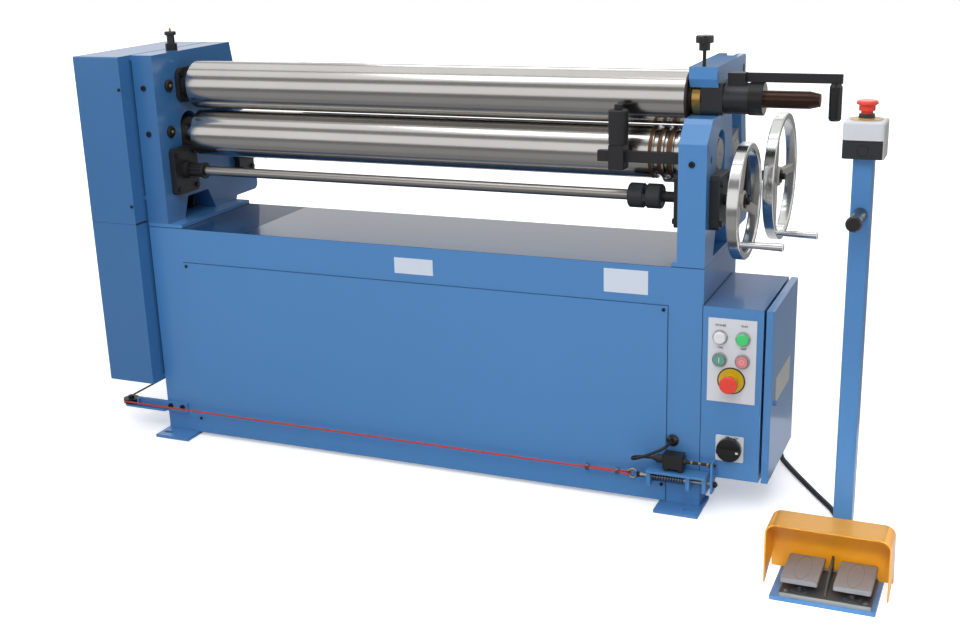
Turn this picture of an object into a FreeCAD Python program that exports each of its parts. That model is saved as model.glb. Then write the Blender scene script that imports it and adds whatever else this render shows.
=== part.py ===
"""Powered slip roll: a bench of folded steel that carries three bending rolls between two end frames.

Millimetres. +X runs along the rolls to the operator's right, +Y from the operator to the back, +Z up.
The origin is on the floor, at the centre of the four slotted foot holes.
Every size below is a cell of the sheet; formulas of those cells place and size every piece.
"""
import FreeCAD, Part
import math
import os
import re
import Sketcher

doc = FreeCAD.newDocument("SlipRoll")
Vector = FreeCAD.Vector
Rotation = FreeCAD.Rotation

# --- driving sizes: name, millimetres (or degrees, or a count) ----------------------------------------
SIZES = [
    # bench
    ("bench_width", 1470), ("bench_depth", 318), ("bench_floor", 8), ("bed_top", 572),
    ("frame_seat", 582), ("bench_wall", 5), ("bed_plate", 14), ("post_width", 98),
    ("panel_height", 482), ("panel_thick", 3), ("panel_lip", 16), ("screw_inset", 9),
    ("foot_length", 103), ("foot_overhang", 9), ("foot_reach", 54), ("foot_tuck", 60),
    ("slot_length", 30), ("slot_width", 14), ("foot_hole_in", 16),
    ("foot_hole_out", 29),
    # end frames
    ("frame_thick", 62), ("left_top", 1012), ("frame_top_depth", 346), ("frame_heel_y", 275),
    ("frame_heel_z", 592), ("heel_round", 18), ("arch_front_low", 75), ("arch_front_high", 96),
    ("arch_back_high", 188), ("arch_back_low", 217), ("arch_top", 637), ("right_front_top", 844),
    ("saddle_front", 40), ("saddle_shelf_y", 50), ("cheek_gap", 6), ("cheek_top", 936),
    ("hinge_tongue", 24), ("frame_web", 20), ("cover_side_gap", 5.3),
    # rolls
    ("roll_length", 1300), ("roll_dia", 120), ("roll_left_gap", 42), ("roll_axis_y", -28),
    ("top_axis_z", 926), ("roll_gap", 4), ("journal_dia", 50), ("roll_edge", 1.5),
    ("neck_dia", 84), ("neck_length", 4.7), ("groove_a", 24), ("groove_b", 44), ("groove_c", 67),
    ("groove_a_width", 9), ("groove_b_width", 12), ("groove_c_width", 15), ("groove_depth", 7),
    ("roll_relief", 4),
    ("rear_axis_y", 141), ("rear_axis_z", 775), ("slot_lean", 11.8), ("slot_spare", 17),
    ("rear_travel", 90),
    ("lower_screw_length", 95), ("rear_screw_length", 126), ("lower_rise", 3.5), ("lower_drop", 3.5),
    ("tail_dia", 38), ("tail_length", 118),
    ("tail_taper", 22), ("tail_tip_dia", 28),
    # bearings and their fits
    ("fit", 0.05), ("slide_gap", 0.3), ("seat_gap", 0.3), ("block_size", 76), ("rear_block_size", 92),
    ("block_depth", 40),
    ("block_inset", 2), ("end_cap_dia", 68), ("end_cap_thick", 4), ("cap_hole_dia", 8),
    ("flange_size", 88),
    ("flange_thick", 12), ("flange_round", 22), ("flange_boss_dia", 72), ("flange_boss", 6),
    ("housing_bore", 86), ("bush_dia", 82), ("bush_flange", 20), ("carrier_size", 70),
    ("carrier_length", 48), ("carrier_round", 12), ("carrier_nose_dia", 68), ("carrier_nose", 53),
    ("collar_dia", 72), ("collar_length", 31),
    # lift screws and worm boxes
    ("lift_screw_dia", 24), ("front_shaft_y", -79), ("rear_shaft_y", 213), ("shaft_z", 711),
    ("cross_shaft_dia", 24), ("box_depth", 98), ("box_height", 120), ("box_thick", 17),
    ("outer_box_thick", 22), ("box_round", 10), ("screw_bottom", 655), ("boss_dia", 46),
    ("boss_length", 13), ("hub_dia", 36), ("hub_length", 46), ("hub_ribs", 8), ("coupling_dia", 56),
    ("coupling_half", 36.5), ("coupling_gap", 4), ("coupling_from_box", 37),
    # handwheels
    ("front_wheel_dia", 256), ("rear_wheel_dia", 300), ("rim_width", 25), ("rim_deep", 16),
    ("wheel_hub_dia", 46),
    ("wheel_hub_length", 30), ("hub_screw", 11), ("hub_screw_dia", 16), ("spoke_width", 22),
    ("spoke_thick", 13), ("spokes", 3),
    ("front_rim_x", 801), ("rear_rim_x", 823), ("wheel_dish", 14), ("crank_pin_dia", 7),
    ("crank_dia", 18), ("crank_small_dia", 12), ("crank_length", 92), ("front_crank_angle", 218),
    ("rear_crank_angle", 238),
    # top latch and its screws
    ("latch_front", 78), ("latch_back", 365), ("latch_top", 998), ("latch_nose", 26),
    ("latch_chin_y", 91), ("latch_chin_z", 953), ("latch_pin_dia", 20),
    ("latch_pin_y", 186), ("latch_pin_z", 966), ("latch_screw_x", 32), ("latch_screw_y", 92),
    ("knob_dia", 38), ("knob_lobes", 5), ("knob_height", 16), ("knob_neck_dia", 24),
    ("knob_neck", 16), ("knob_stem_dia", 8), ("latch_stem", 34), ("left_knob_y", 129),
    ("left_collar_dia", 30), ("left_collar", 18), ("left_disc", 10), ("left_stem_dia", 20),
    ("left_stem", 20),
    ("nipple_dia", 6), ("nipple", 9),
    # lift handle on the top roll's end
    ("handle_base", 38), ("handle_base_deep", 30), ("handle_bar_height", 20), ("handle_bar_thick", 8),
    ("handle_reach", 241), ("handle_grip_dia", 27), ("handle_grip", 78), ("handle_pin_dia", 10),
    # cone bending stop
    ("cone_bar_left", 1215), ("cone_bar_y", 42), ("cone_bar_z", 805), ("cone_bar_height", 24),
    ("cone_bar_thick", 16), ("cone_spigot_dia", 16), ("cone_block_width", 34), ("cone_block_deep", 42),
    ("cone_block_low", 778), ("cone_block_top", 832), ("cone_block_x", 1263), ("cone_post_dia", 44),
    ("cone_post_top", 908), ("cone_screw_dia", 18), ("cone_screw_head", 12), ("cone_shank_dia", 12),
    # gear train, chain and motor
    ("gear_module", 5), ("roll_teeth", 24), ("pinion_teeth", 16), ("gear_width", 30),
    ("gear_backlash", 0.44), ("pinion_angle", -25), ("gear_gap", 8), ("sprocket_dia", 120),
    ("drive_sprocket_dia", 72), ("sprocket_thick", 7), ("sprocket_gap", 12), ("chain_thick", 9),
    ("chain_width", 12), ("motor_shaft_z", 330), ("motor_dia", 160), ("motor_length", 270),
    ("reducer_width", 150), ("reducer_height", 190), ("reducer_length", 130),
    ("drive_shaft_dia", 28), ("axle_dia", 30), ("axle_seat", 18),
    # gear cover
    ("cover_left", 144.4), ("cover_front", 46), ("cover_bottom", 148), ("cover_wall", 2.5),
    ("cover_seam", 586), ("cover_round", 4), ("cover_flange", 14), ("cover_notch", 0.8),
    # control box
    ("control_gap", 0.3), ("control_right", 1604), ("control_back", 285), ("control_low", 87),
    ("control_top", 491), ("control_wall", 2.5), ("door_gap", 5.4), ("door_thick", 16),
    ("door_round", 3), ("door_skin", 2.5), ("door_pin_dia", 8), ("door_lip", 16),
    ("plate_left", 1483), ("plate_right", 1590), ("plate_low", 272), ("plate_top", 466),
    ("plate_thick", 1.5), ("lamp_left", 1510), ("lamp_right", 1560.5), ("lamp_z", 423),
    ("lamp_dia", 33), ("lamp_depth", 12), ("button_z", 371.5), ("button_ring_dia", 33),
    ("button_ring", 5), ("button_cap_dia", 26), ("button_cap", 9),
    ("stop_x", 1537), ("stop_z", 324), ("stop_disc_dia", 62), ("stop_disc", 2), ("mushroom_dia", 40),
    ("mushroom", 19), ("mushroom_neck_dia", 30), ("mushroom_stand", 17), ("mushroom_travel", 5),
    ("stem_dia", 22), ("stem_depth", 14), ("isolator_left", 1506), ("isolator_right", 1569),
    ("isolator_low", 131), ("isolator_top", 192), ("isolator_knob_dia", 56), ("isolator_knob", 12),
    ("isolator_ridge", 16), ("lock_z", 268), ("lock_y", 33), ("lock_dia", 12), ("lock_thick", 5),
    # trip rope along the front
    ("rope_dia", 5), ("rope_y", -22), ("rope_z", 76), ("pulley_x", -120), ("pulley_dia", 38),
    ("pulley_thick", 11), ("pulley_bore", 10), ("rope_back_y", 300), ("eye_x", 1318),
    ("eye_ring_dia", 27),
    ("eye_wire", 5), ("eye_rod_dia", 8), ("ear_a", 1354), ("ear_b", 1446), ("ear_c", 1484),
    ("ear_thick", 9), ("ear_drop", 22), ("bracket_top", 97), ("bracket_thick", 6),
    ("bracket_deep", 42), ("yoke_x", 1502), ("yoke_thick", 5), ("clip_x", 1280), ("end_clip_x", 1206),
    ("bracket_end_top", 132),
    ("spring_dia", 20), ("spring_wire", 2), ("spring_turns", 12),
    ("switch_left", 1391), ("switch_right", 1438), ("switch_height", 33), ("switch_stand", 9),
    ("switch_deep", 30),
    ("switch_gland_dia", 20), ("switch_gland", 24), ("plunger_dia", 8), ("plunger", 24),
    ("grommet_x", 1406), ("grommet_z", 163), ("grommet_dia", 28), ("grommet_thick", 9),
    ("cable_dia", 7), ("tab_thick", 6), ("tab_deep", 20), ("tab_low", 62), ("tab_high", 88),
    ("tab_right", 66),
    # foot control
    ("pad_left", 1700), ("pad_right", 1906), ("pad_front", -355), ("pad_back", -140),
    ("pad_thick", 9), ("stand_x", 1813), ("stand_y", -170), ("stand_size", 38), ("stand_top", 866),
    ("stand_round", 4), ("stand_wall", 2.5), ("guard_left", 1680), ("guard_right", 1925),
    ("guard_front", -318), ("guard_top_back", -245), ("guard_back", -222), ("guard_top", 146),
    ("guard_wall", 3), ("guard_round", 22), ("guard_low", 14), ("guard_foot_low", 9),
    ("pedal_base_left", 1717), ("pedal_base_right", 1898), ("pedal_base_front", -352),
    ("pedal_base_back", -230), ("pedal_base_thick", 8), ("divider_thick", 4), ("divider_top", 46),
    ("pedal_width", 73), ("pedal_length", 112), ("pedal_thick", 7), ("pedal_left_x", 1755.5),
    ("pedal_right_x", 1858), ("pedal_front", -346), ("pedal_z", 41), ("pedal_drop", 14),
    ("pedal_stop_height", 18), ("pedal_cup_in", 15), ("pedal_cup_dia", 32), ("pedal_pin_dia", 6),
    ("pedal_skirt", 3), ("station_width", 77), ("station_deep", 72),
    ("station_height", 70), ("station_split", 32), ("station_round", 8), ("yellow_disc_dia", 60),
    ("yellow_disc", 2), ("post_grip_z", 757), ("post_grip_dia", 28),
    ("post_grip_end_dia", 31), ("post_grip", 88), ("knockout_dia", 22),
    # conduit between the control box and the foot control
    ("conduit_dia", 13), ("gland_dia", 24), ("gland_length", 24), ("conduit_exit_z", 108),
    ("conduit_exit_x", 1585), ("conduit_entry_z", 60),
]
# --- sizes worked out from those ----------------------------------------------------------------------
# Positions written "…_x" in the list that are larger than half the bench are counted from the bench's
# left side, and those of the front face from its front, so these two turn them into the part's frame.
WORKED = {
    "left_side": "-bench_width / 2",
    "front_face": "-bench_depth / 2",
    "back_face": "bench_depth / 2",
    "left_inner": "-bench_width / 2 + frame_thick",
    "right_inner": "bench_width / 2 - frame_thick",
    "right_side": "bench_width / 2",
    "roll_left": "left_inner + roll_left_gap",
    "roll_right": "roll_left + roll_length",
    "roll_r": "roll_dia / 2",
    "journal_r": "journal_dia / 2",
    "lower_axis_z": "top_axis_z - roll_dia - roll_gap",
    "frame_back": "front_face + frame_top_depth",
    "heel_slope": "(frame_heel_y - frame_back) / (left_top - frame_heel_z)",
    "foot_hole_x": "bench_width / 2 - foot_hole_in",
    "foot_hole_y": "bench_depth / 2 + foot_hole_out",
    "bore_r": "journal_dia / 2 + fit",
    "shaft_r": "cross_shaft_dia / 2",
    "lift_r": "lift_screw_dia / 2",
    "roll_pitch_r": "gear_module * roll_teeth / 2",
    "pinion_pitch_r": "gear_module * pinion_teeth / 2",
    "pinion_reach": "roll_pitch_r + pinion_pitch_r",
    "pinion_y": "roll_axis_y + pinion_reach * cos(pinion_angle)",
    "pinion_z": "top_axis_z + pinion_reach * sin(pinion_angle)",
    "gear_right": "left_side - gear_gap",
    "gear_left": "gear_right - gear_width",
    "sprocket_right": "gear_left - sprocket_gap",
    "sprocket_mid": "sprocket_right - sprocket_thick / 2",
    "cover_x": "left_side - cover_left",
    "cover_right": "left_side - cover_side_gap",
    "cover_y": "front_face - cover_front",
    "lower_slot_low": "lower_axis_z - block_size / 2 - lower_drop - 1",
    "lower_slot_high": "lower_axis_z + block_size / 2 + slot_spare",
    "box_inner_x": "right_inner - box_thick",
    "pin_r": "latch_pin_dia / 2",
    "rope_side_x": "left_side + pulley_x - pulley_dia / 2",
    "rope_line_y": "front_face + rope_y",
    "roll_right_gap": "right_inner - roll_right",
    "carrier_x": "right_inner + bush_flange + 2",
    "collar_x": "carrier_x + carrier_length + carrier_nose + 0.5",
    "tail_x": "collar_x + collar_length",
    "axle_length": "axle_seat + gear_gap + gear_width + sprocket_gap + sprocket_thick + 0.5",
    "box_face": "front_face - 3.5",
    "panel_y": "box_face - plate_thick",
    "isolator_x": "left_side + (isolator_left + isolator_right) / 2",
    "isolator_z": "(isolator_low + isolator_top) / 2",
    "hinge_x": "left_side + control_right + door_gap / 2",
    "hinge_y": "front_face + control_back + 8",
    "pulley_y": "rope_line_y + pulley_dia / 2",
    "switch_low": "bracket_top + switch_stand",
    "switch_z": "switch_low + switch_height / 2",
    "pedal_pivot_y": "front_face + pedal_front + pedal_length - 10",
    "pedal_pivot_z": "pedal_z - pedal_drop",
}
MATHS = {"cos", "sin", "tan", "sqrt", "atan", "round"}
WORD = re.compile(r"[A-Za-z_]\w*")

sheet = doc.addObject("Spreadsheet::Sheet", "Sizes")
for row, (alias, value) in enumerate(SIZES, start=1):
    sheet.set("A%d" % row, alias)
    sheet.set("B%d" % row, str(value))
    sheet.setAlias("B%d" % row, alias)
doc.recompute()
probe = doc.addObject("App::FeaturePython", "Probe")
probe.addProperty("App::PropertyFloat", "Value")


def bound(formula):
    """The formula with every size name pointing at its cell."""
    def swap(match):
        word = match.group(0)
        if word in WORKED:
            return "(" + bound(WORKED[word]) + ")"
        return word if word in MATHS else "Sizes." + word
    return WORD.sub(swap, str(formula))


def num(formula):
    """The formula's present value."""
    probe.setExpression("Value", bound(formula))
    probe.recompute()
    return probe.Value


# --- ways to make a piece -----------------------------------------------------------------------------
# Turns that bring a primitive's own +Z, or a turned body's own +X, to the named direction.
FROM_Z = {"+Z": Rotation(), "-Z": Rotation(Vector(1, 0, 0), 180), "+X": Rotation(Vector(0, 1, 0), 90),
          "-X": Rotation(Vector(0, 1, 0), -90), "+Y": Rotation(Vector(1, 0, 0), -90),
          "-Y": Rotation(Vector(1, 0, 0), 90)}
FROM_X = {"+X": Rotation(), "-X": Rotation(Vector(0, 0, 1), 180), "+Y": Rotation(Vector(0, 0, 1), 90),
          "-Y": Rotation(Vector(0, 0, 1), -90), "+Z": Rotation(Vector(0, 1, 0), -90),
          "-Z": Rotation(Vector(0, 1, 0), 90)}
# Planes to draw on: "top" looks down on X and Y, "side" is Y and Z, "front" is X and Z seen from behind.
PLANES = {"top": "XY_Plane", "side": "YZ_Plane", "front": "XZ_Plane"}
nodes = {}
cuts = []


def place(thing, at, turn=None):
    """Put a piece at a point given by formulas, turned first if asked."""
    if turn is not None:
        thing.Placement = FreeCAD.Placement(Vector(), turn)
    for axis, formula in zip("xyz", at):
        thing.setExpression("Placement.Base." + axis, bound(formula))
    return thing


def box(name, low, high):
    """Block between two corners."""
    block = doc.addObject("Part::Box", name)
    for side, start, end in zip(("Length", "Width", "Height"), low, high):
        block.setExpression(side, bound("(%s) - (%s)" % (end, start)))
    return place(block, low)


def rod(name, at, radius, length, way="+Z"):
    """Round bar from a point along a direction."""
    bar = doc.addObject("Part::Cylinder", name)
    bar.setExpression("Radius", bound(radius))
    bar.setExpression("Height", bound(length))
    return place(bar, at, FROM_Z[way] if isinstance(way, str) else way)


def cone(name, at, start, end, length, way="+Z"):
    """Tapered round bar."""
    bar = doc.addObject("Part::Cone", name)
    bar.setExpression("Radius1", bound(start))
    bar.setExpression("Radius2", bound(end))
    bar.setExpression("Height", bound(length))
    return place(bar, at, FROM_Z[way] if isinstance(way, str) else way)


def ring(name, at, radius, wire, way="+Z"):
    """Torus of a mean radius and a wire radius."""
    torus = doc.addObject("Part::Torus", name)
    torus.setExpression("Radius1", bound(radius))
    torus.setExpression("Radius2", bound(wire))
    return place(torus, at, FROM_Z[way])


def fuse(name, pieces):
    """Welded or one-piece union."""
    union = doc.addObject("Part::MultiFuse", name)
    union.Shapes = pieces
    union.Refine = True
    return union


def cut(name, base, tools):
    """A piece less one or several tools."""
    tool = tools[0] if len(tools) == 1 else fuse(name + "_tools", tools)
    left = doc.addObject("Part::Cut", name)
    left.Base = base
    left.Tool = tool
    left.Refine = True
    cuts.append((left, base))
    return left


def node(label, piece, at=None, turn=None):
    """Record a finished sub-part under its file name."""
    if at is not None:
        place(piece, at, turn)
    nodes.setdefault(label, []).append(piece)
    return piece


def group(label, pieces):
    """Like pieces that share one file, each a solid of its own."""
    for piece in pieces:
        node(label, piece)


def new_body(name):
    """Empty PartDesign body."""
    return doc.addObject("PartDesign::Body", name)


def origin_feature(body, role):
    """Plane or axis of a body's own origin."""
    return next(item for item in body.Origin.OriginFeatures if item.Role == role)


def new_sketch(body, plane, start="0"):
    """Sketch on one of the body's planes, set forward to a start; a front sketch starts at its Y."""
    sketch = body.newObject("Sketcher::SketchObject", body.Name + "_sketch")
    sketch.AttachmentSupport = [(origin_feature(body, PLANES[plane]), "")]
    sketch.MapMode = "FlatFace"
    offset = "-(%s)" % start if plane == "front" else start
    sketch.setExpression("AttachmentOffset.Base.z", bound(offset))
    return sketch


def pin_point(sketch, geo, pos, where):
    """Hold a sketch point at two formulas."""
    for kind, formula in zip(("DistanceX", "DistanceY"), where):
        index = sketch.addConstraint(Sketcher.Constraint(kind, -1, 1, geo, pos, num(formula)))
        sketch.setExpression("Constraints[%d]" % index, bound(formula))


def draw(sketch, outline):
    """Closed outline of straight sides; a corner's third value rounds it."""
    points = [Vector(num(corner[0]), num(corner[1]), 0) for corner in outline]
    rounds = [num(corner[2]) if len(corner) > 2 else 0 for corner in outline]
    count = len(outline)
    trims = []
    for index, radius in enumerate(rounds):
        back = (points[index - 1] - points[index]).normalize()
        ahead = (points[(index + 1) % count] - points[index]).normalize()
        half = math.acos(max(-1, min(1, back.dot(ahead)))) / 2
        trims.append(radius / math.tan(half) if radius else 0)
    sides = []
    for index in range(count):
        after = (index + 1) % count
        way = (points[after] - points[index]).normalize()
        start = points[index] + way * trims[index]
        end = points[after] - way * trims[after]
        sides.append(sketch.addGeometry(Part.LineSegment(start, end), False))
    for index, corner in enumerate(outline):
        before = sides[index - 1]
        after = sides[index]
        if not rounds[index]:
            sketch.addConstraint(Sketcher.Constraint("Coincident", before, 2, after, 1))
            pin_point(sketch, after, 1, corner[:2])
            continue
        mark = sketch.addGeometry(Part.Point(points[index]), True)
        pin_point(sketch, mark, 1, corner[:2])
        sketch.addConstraint(Sketcher.Constraint("PointOnObject", mark, 1, before))
        sketch.addConstraint(Sketcher.Constraint("PointOnObject", mark, 1, after))
        first = sketch.Geometry[before].EndPoint
        last = sketch.Geometry[after].StartPoint
        middle = (first - points[index]).normalize() + (last - points[index]).normalize()
        reach = math.hypot(rounds[index], trims[index])
        centre = points[index] + middle.normalize() * reach
        turn = (first - centre).cross(last - centre).z
        low, high = (first, last) if turn > 0 else (last, first)
        angles = [math.atan2(*reversed((point - centre)[:2])) for point in (low, high)]
        circle = Part.Circle(centre, Vector(0, 0, 1), rounds[index])
        arc = sketch.addGeometry(Part.ArcOfCircle(circle, *angles), False)
        begin, finish = (1, 2) if turn > 0 else (2, 1)
        sketch.addConstraint(Sketcher.Constraint("Tangent", before, 2, arc, begin))
        sketch.addConstraint(Sketcher.Constraint("Tangent", arc, finish, after, 1))
        index_r = sketch.addConstraint(Sketcher.Constraint("Radius", arc, rounds[index]))
        sketch.setExpression("Constraints[%d]" % index_r, bound(corner[2]))


def draw_circle(sketch, circle):
    """Circle given by its centre's two formulas and its radius."""
    centre = Vector(num(circle[0]), num(circle[1]), 0)
    geo = sketch.addGeometry(Part.Circle(centre, Vector(0, 0, 1), num(circle[2])), False)
    pin_point(sketch, geo, 3, circle[:2])
    index = sketch.addConstraint(Sketcher.Constraint("Radius", geo, num(circle[2])))
    sketch.setExpression("Constraints[%d]" % index, bound(circle[2]))


def sketch_of(body, plane, start, outlines=(), circles=()):
    """Sketch of several outlines and circles."""
    sketch = new_sketch(body, plane, start)
    for outline in outlines:
        draw(sketch, outline)
    for circle in circles:
        draw_circle(sketch, circle)
    return sketch


def pad(body, plane, start, length, outlines=(), circles=(), midplane=False):
    """Raise outlines by a length: up from "top", to +X from "side", to -Y from "front"."""
    feature = body.newObject("PartDesign::Pad", body.Name + "_pad")
    feature.Profile = sketch_of(body, plane, start, outlines, circles)
    feature.setExpression("Length", bound(length))
    feature.Midplane = midplane
    return feature


def pocket(body, plane, start, depth, outlines=(), circles=(), midplane=False):
    """Cut outlines into a body, the same way as a pad would rise."""
    feature = body.newObject("PartDesign::Pocket", body.Name + "_pocket")
    feature.Profile = sketch_of(body, plane, start, outlines, circles)
    feature.setExpression("Length", bound(depth))
    feature.Reversed = True
    feature.Midplane = midplane
    cuts.append((feature, None))
    return feature


def turn_profile(body, outline, kind="Revolution"):
    """Turn an outline of (along, radius) about the body's own X axis."""
    feature = body.newObject("PartDesign::" + kind, body.Name + "_" + kind.lower())
    feature.Profile = sketch_of(body, "top", "0", [outline])
    feature.ReferenceAxis = (origin_feature(body, "X_Axis"), [""])
    feature.Angle = 360
    if kind == "Groove":
        cuts.append((feature, None))
    return feature


def turned(label, outline, at, way="+X"):
    """Turned piece: an outline of (along, radius), its axis at a point along a direction."""
    body = new_body(label + "_body")
    turn_profile(body, outline)
    return place(body, at, FROM_X[way] if isinstance(way, str) else way)


def plate(label, plane, start, thick, outline, holes=(), openings=()):
    """Flat piece cut from plate."""
    body = new_body(label + "_body")
    pad(body, plane, start, thick, [outline] + list(openings), holes)
    return body


def rectangle(low, high, radius=None):
    """Outline between two corners, rounded if asked."""
    corners = [(low[0], low[1]), (high[0], low[1]), (high[0], high[1]), (low[0], high[1])]
    return [corner + ((radius,) if radius else ()) for corner in corners]


def edges_where(shape, test):
    """Names of a shape's edges that pass a test."""
    return ["Edge%d" % (i + 1) for i, edge in enumerate(shape.Edges) if test(edge)]


def soften(body, kind, size, test):
    """Round or bevel the body's edges that pass a test."""
    doc.recompute()
    base = body.Tip
    feature = body.newObject("PartDesign::" + kind, body.Name + "_" + kind.lower())
    feature.Base = (base, edges_where(base.Shape, test))
    feature.setExpression("Radius" if kind == "Fillet" else "Size", bound(size))
    return feature


def repeat(body, feature, count, role="X_Axis"):
    """Copies of a feature round one of the body's own axes."""
    pattern = body.newObject("PartDesign::PolarPattern", body.Name + "_pattern")
    pattern.Originals = [feature]
    pattern.Axis = (origin_feature(body, role), [""])
    pattern.Angle = 360
    pattern.setExpression("Occurrences", bound(count))
    body.Tip = pattern
    return pattern


def runs_along(axis):
    """Test for straight edges along an axis."""
    def test(edge):
        if edge.Curve.TypeId != "Part::GeomLine":
            return False
        way = edge.Curve.Direction
        return abs(abs(getattr(way, axis)) - 1) < 1e-6
    return test


def round_cord(label, points, diameter):
    """Cord through a list of points: straight runs joined by arcs as large as the runs allow."""
    corners = [Vector(*point) for point in points]
    edges = []
    start = corners[0]
    radii = []
    for before, corner, after in zip(corners, corners[1:], corners[2:]):
        back = before - corner
        ahead = after - corner
        shorter = min(back.Length, ahead.Length)
        back.normalize()
        ahead.normalize()
        half_turn = (math.pi - math.acos(max(-1, min(1, back.dot(ahead))))) / 2
        trim = 0.45 * shorter
        radius = trim / math.tan(half_turn)
        middle = (back + ahead).normalize()
        centre = corner + middle * math.hypot(radius, trim)
        first = corner + back * trim
        last = corner + ahead * trim
        edges.append(Part.LineSegment(start, first).toShape())
        edges.append(Part.Arc(first, centre - middle * radius, last).toShape())
        radii.append(radius)
        start = last
    edges.append(Part.LineSegment(start, corners[-1]).toShape())
    path = Part.Wire(edges)
    way = (corners[1] - corners[0]).normalize()
    section = Part.Wire(Part.Circle(corners[0], way, diameter / 2).toShape())
    solid = path.makePipeShell([section], True, False)
    expected = math.pi * diameter ** 2 / 4 * path.Length
    print("%s: length %.0f mm, radii %s, volume %.4f of section times length"
          % (label, path.Length, [round(value) for value in radii], solid.Volume / expected))
    piece = doc.addObject("Part::Feature", label + "_tube")
    piece.Shape = solid
    return node(label, piece)


# --- bench --------------------------------------------------------------------------------------------
def base_cabinet():
    """Folded steel cabinet: a hollow box with end posts, a thick bed and a seat for each end frame."""
    shell = box("cabinet_shell", ("left_side", "front_face", "bench_floor"),
                ("right_side", "back_face", "bed_top"))
    seats = [box("seat_left", ("left_side", "front_face", "bed_top"),
                 ("left_inner + 41", "back_face", "frame_seat")),
             box("seat_right", ("right_inner - 12", "front_face", "bed_top"),
                 ("right_side", "back_face", "frame_seat"))]
    room = box("cabinet_room", ("left_side + bench_wall", "front_face + bench_wall",
                                "bench_floor + bench_wall"),
               ("right_side - bench_wall", "back_face - bench_wall", "bed_top - bed_plate"))
    door = box("cabinet_mouth", ("left_side + post_width + panel_lip", "front_face - 1",
                                 "bench_floor + bench_wall + panel_lip"),
               ("right_side - post_width + 18 - panel_lip", "front_face + bench_wall + 1",
                "panel_height - panel_lip"))
    motor_hole = rod("cabinet_motor_hole", ("left_side - 1", "pinion_y", "motor_shaft_z"),
                     "drive_shaft_dia / 2 + 3", "bench_wall + 2", "+X")
    cable_hole = rod("cabinet_cable_hole", ("left_side + grommet_x", "front_face - 1", "grommet_z"),
                     "cable_dia / 2 + 2", "bench_wall + 2", "+Y")
    solid = fuse("cabinet_solid", [shell] + seats)
    hollow = cut("cabinet", solid, [room, door, motor_hole, cable_hole])
    low = "motor_shaft_z - reducer_height / 2"
    shelf = box("motor_shelf", ("left_side + bench_wall - 1", "pinion_y - reducer_width / 2 - 8", low + " - 8"),
                ("left_side + bench_wall + reducer_length + motor_length", "back_face - bench_wall + 1", low))
    node("base_cabinet", fuse("cabinet_whole", [hollow, shelf]))


def front_panel():
    """Removable sheet in the front of the cabinet, with the screws that hold it."""
    left, right = "left_side + post_width", "right_side - post_width + 18"
    low, high = "bench_floor + 2", "panel_height"
    corners = [("(%s) + screw_inset" % left, "(%s) - screw_inset" % high),
               ("(%s) - screw_inset" % right, "(%s) - screw_inset" % high),
               ("(%s) + screw_inset" % left, "(%s) + 40" % low),
               ("(%s) - screw_inset" % right, "(%s) + 40" % low)]
    holes = [(x, z, "2.2") for x, z in corners]
    panel = plate("front_access_panel", "front", "front_face", "panel_thick",
                  rectangle((left, low), (right, high)), holes)
    node("front_access_panel", panel)
    screws = [rod("panel_screw", (x, "front_face - panel_thick", z), "4", "2.2", "-Y") for x, z in corners]
    group(SCREWS, screws)


def foot_plates():
    """Four slotted plates under the cabinet's corners."""
    feet = []
    for side, mirror in (("left", "-"), ("right", "")):
        for end, back in (("front", "-"), ("rear", "")):
            body = new_body("foot_%s_%s" % (side, end))
            x_in = "%s(bench_width / 2 + foot_overhang - foot_length)" % mirror
            x_out = "%s(bench_width / 2 + foot_overhang)" % mirror
            y_in = "%s(bench_depth / 2 - foot_tuck)" % back
            y_out = "%s(bench_depth / 2 + foot_reach)" % back
            slot_x = "%sfoot_hole_x" % mirror
            slot_y = "%sfoot_hole_y" % back
            half = "(slot_length - slot_width) / 2"
            pad(body, "top", "0", "bench_floor", [rectangle((x_in, y_in), (x_out, y_out))])
            pocket(body, "top", "-1", "bench_floor + 2",
                   [rectangle(("%s - %s" % (slot_x, half), "%s - slot_width / 2" % slot_y),
                              ("%s + %s" % (slot_x, half), "%s + slot_width / 2" % slot_y))])
            for sign in "+-":
                pocket(body, "top", "-1", "bench_floor + 2",
                       circles=[("%s %s %s" % (slot_x, sign, half), slot_y, "slot_width / 2")])
            feet.append(body)
    group("foot_plates", feet)


# --- end frames ---------------------------------------------------------------------------------------
def leaning(along, aside):
    """Point beside the rear roll's slanted way: along it from the rear axis, and aside towards the back."""
    return ("rear_axis_y - (%s) * sin(slot_lean) + (%s) * cos(slot_lean)" % (along, aside),
            "rear_axis_z + (%s) * cos(slot_lean) + (%s) * sin(slot_lean)" % (along, aside))


def domed(low, high, half):
    """Outline between two corners with a half-round top."""
    corners = rectangle(low, high, "3")
    return corners[:2] + [corner[:2] + ("%s - 0.5" % half,) for corner in corners[2:]]


def slots():
    """Upright way of the lower roll's block and slanted way of the rear roll's block."""
    half = "block_size / 2 + slide_gap"
    upright = domed(("roll_axis_y - (%s)" % half, "lower_slot_low"), ("roll_axis_y + (%s)" % half, "lower_slot_high"),
                    half)
    half = "rear_block_size / 2 + slide_gap"
    low = "-(rear_block_size / 2 + 1)"
    high = "rear_travel + rear_block_size / 2 + 1"
    slanted = [leaning(low, "-(%s)" % half) + ("3",), leaning(low, half) + ("3",),
               leaning(high, half) + ("3",), leaning(high, "-(%s)" % half) + ("3",)]
    return upright, slanted


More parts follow.
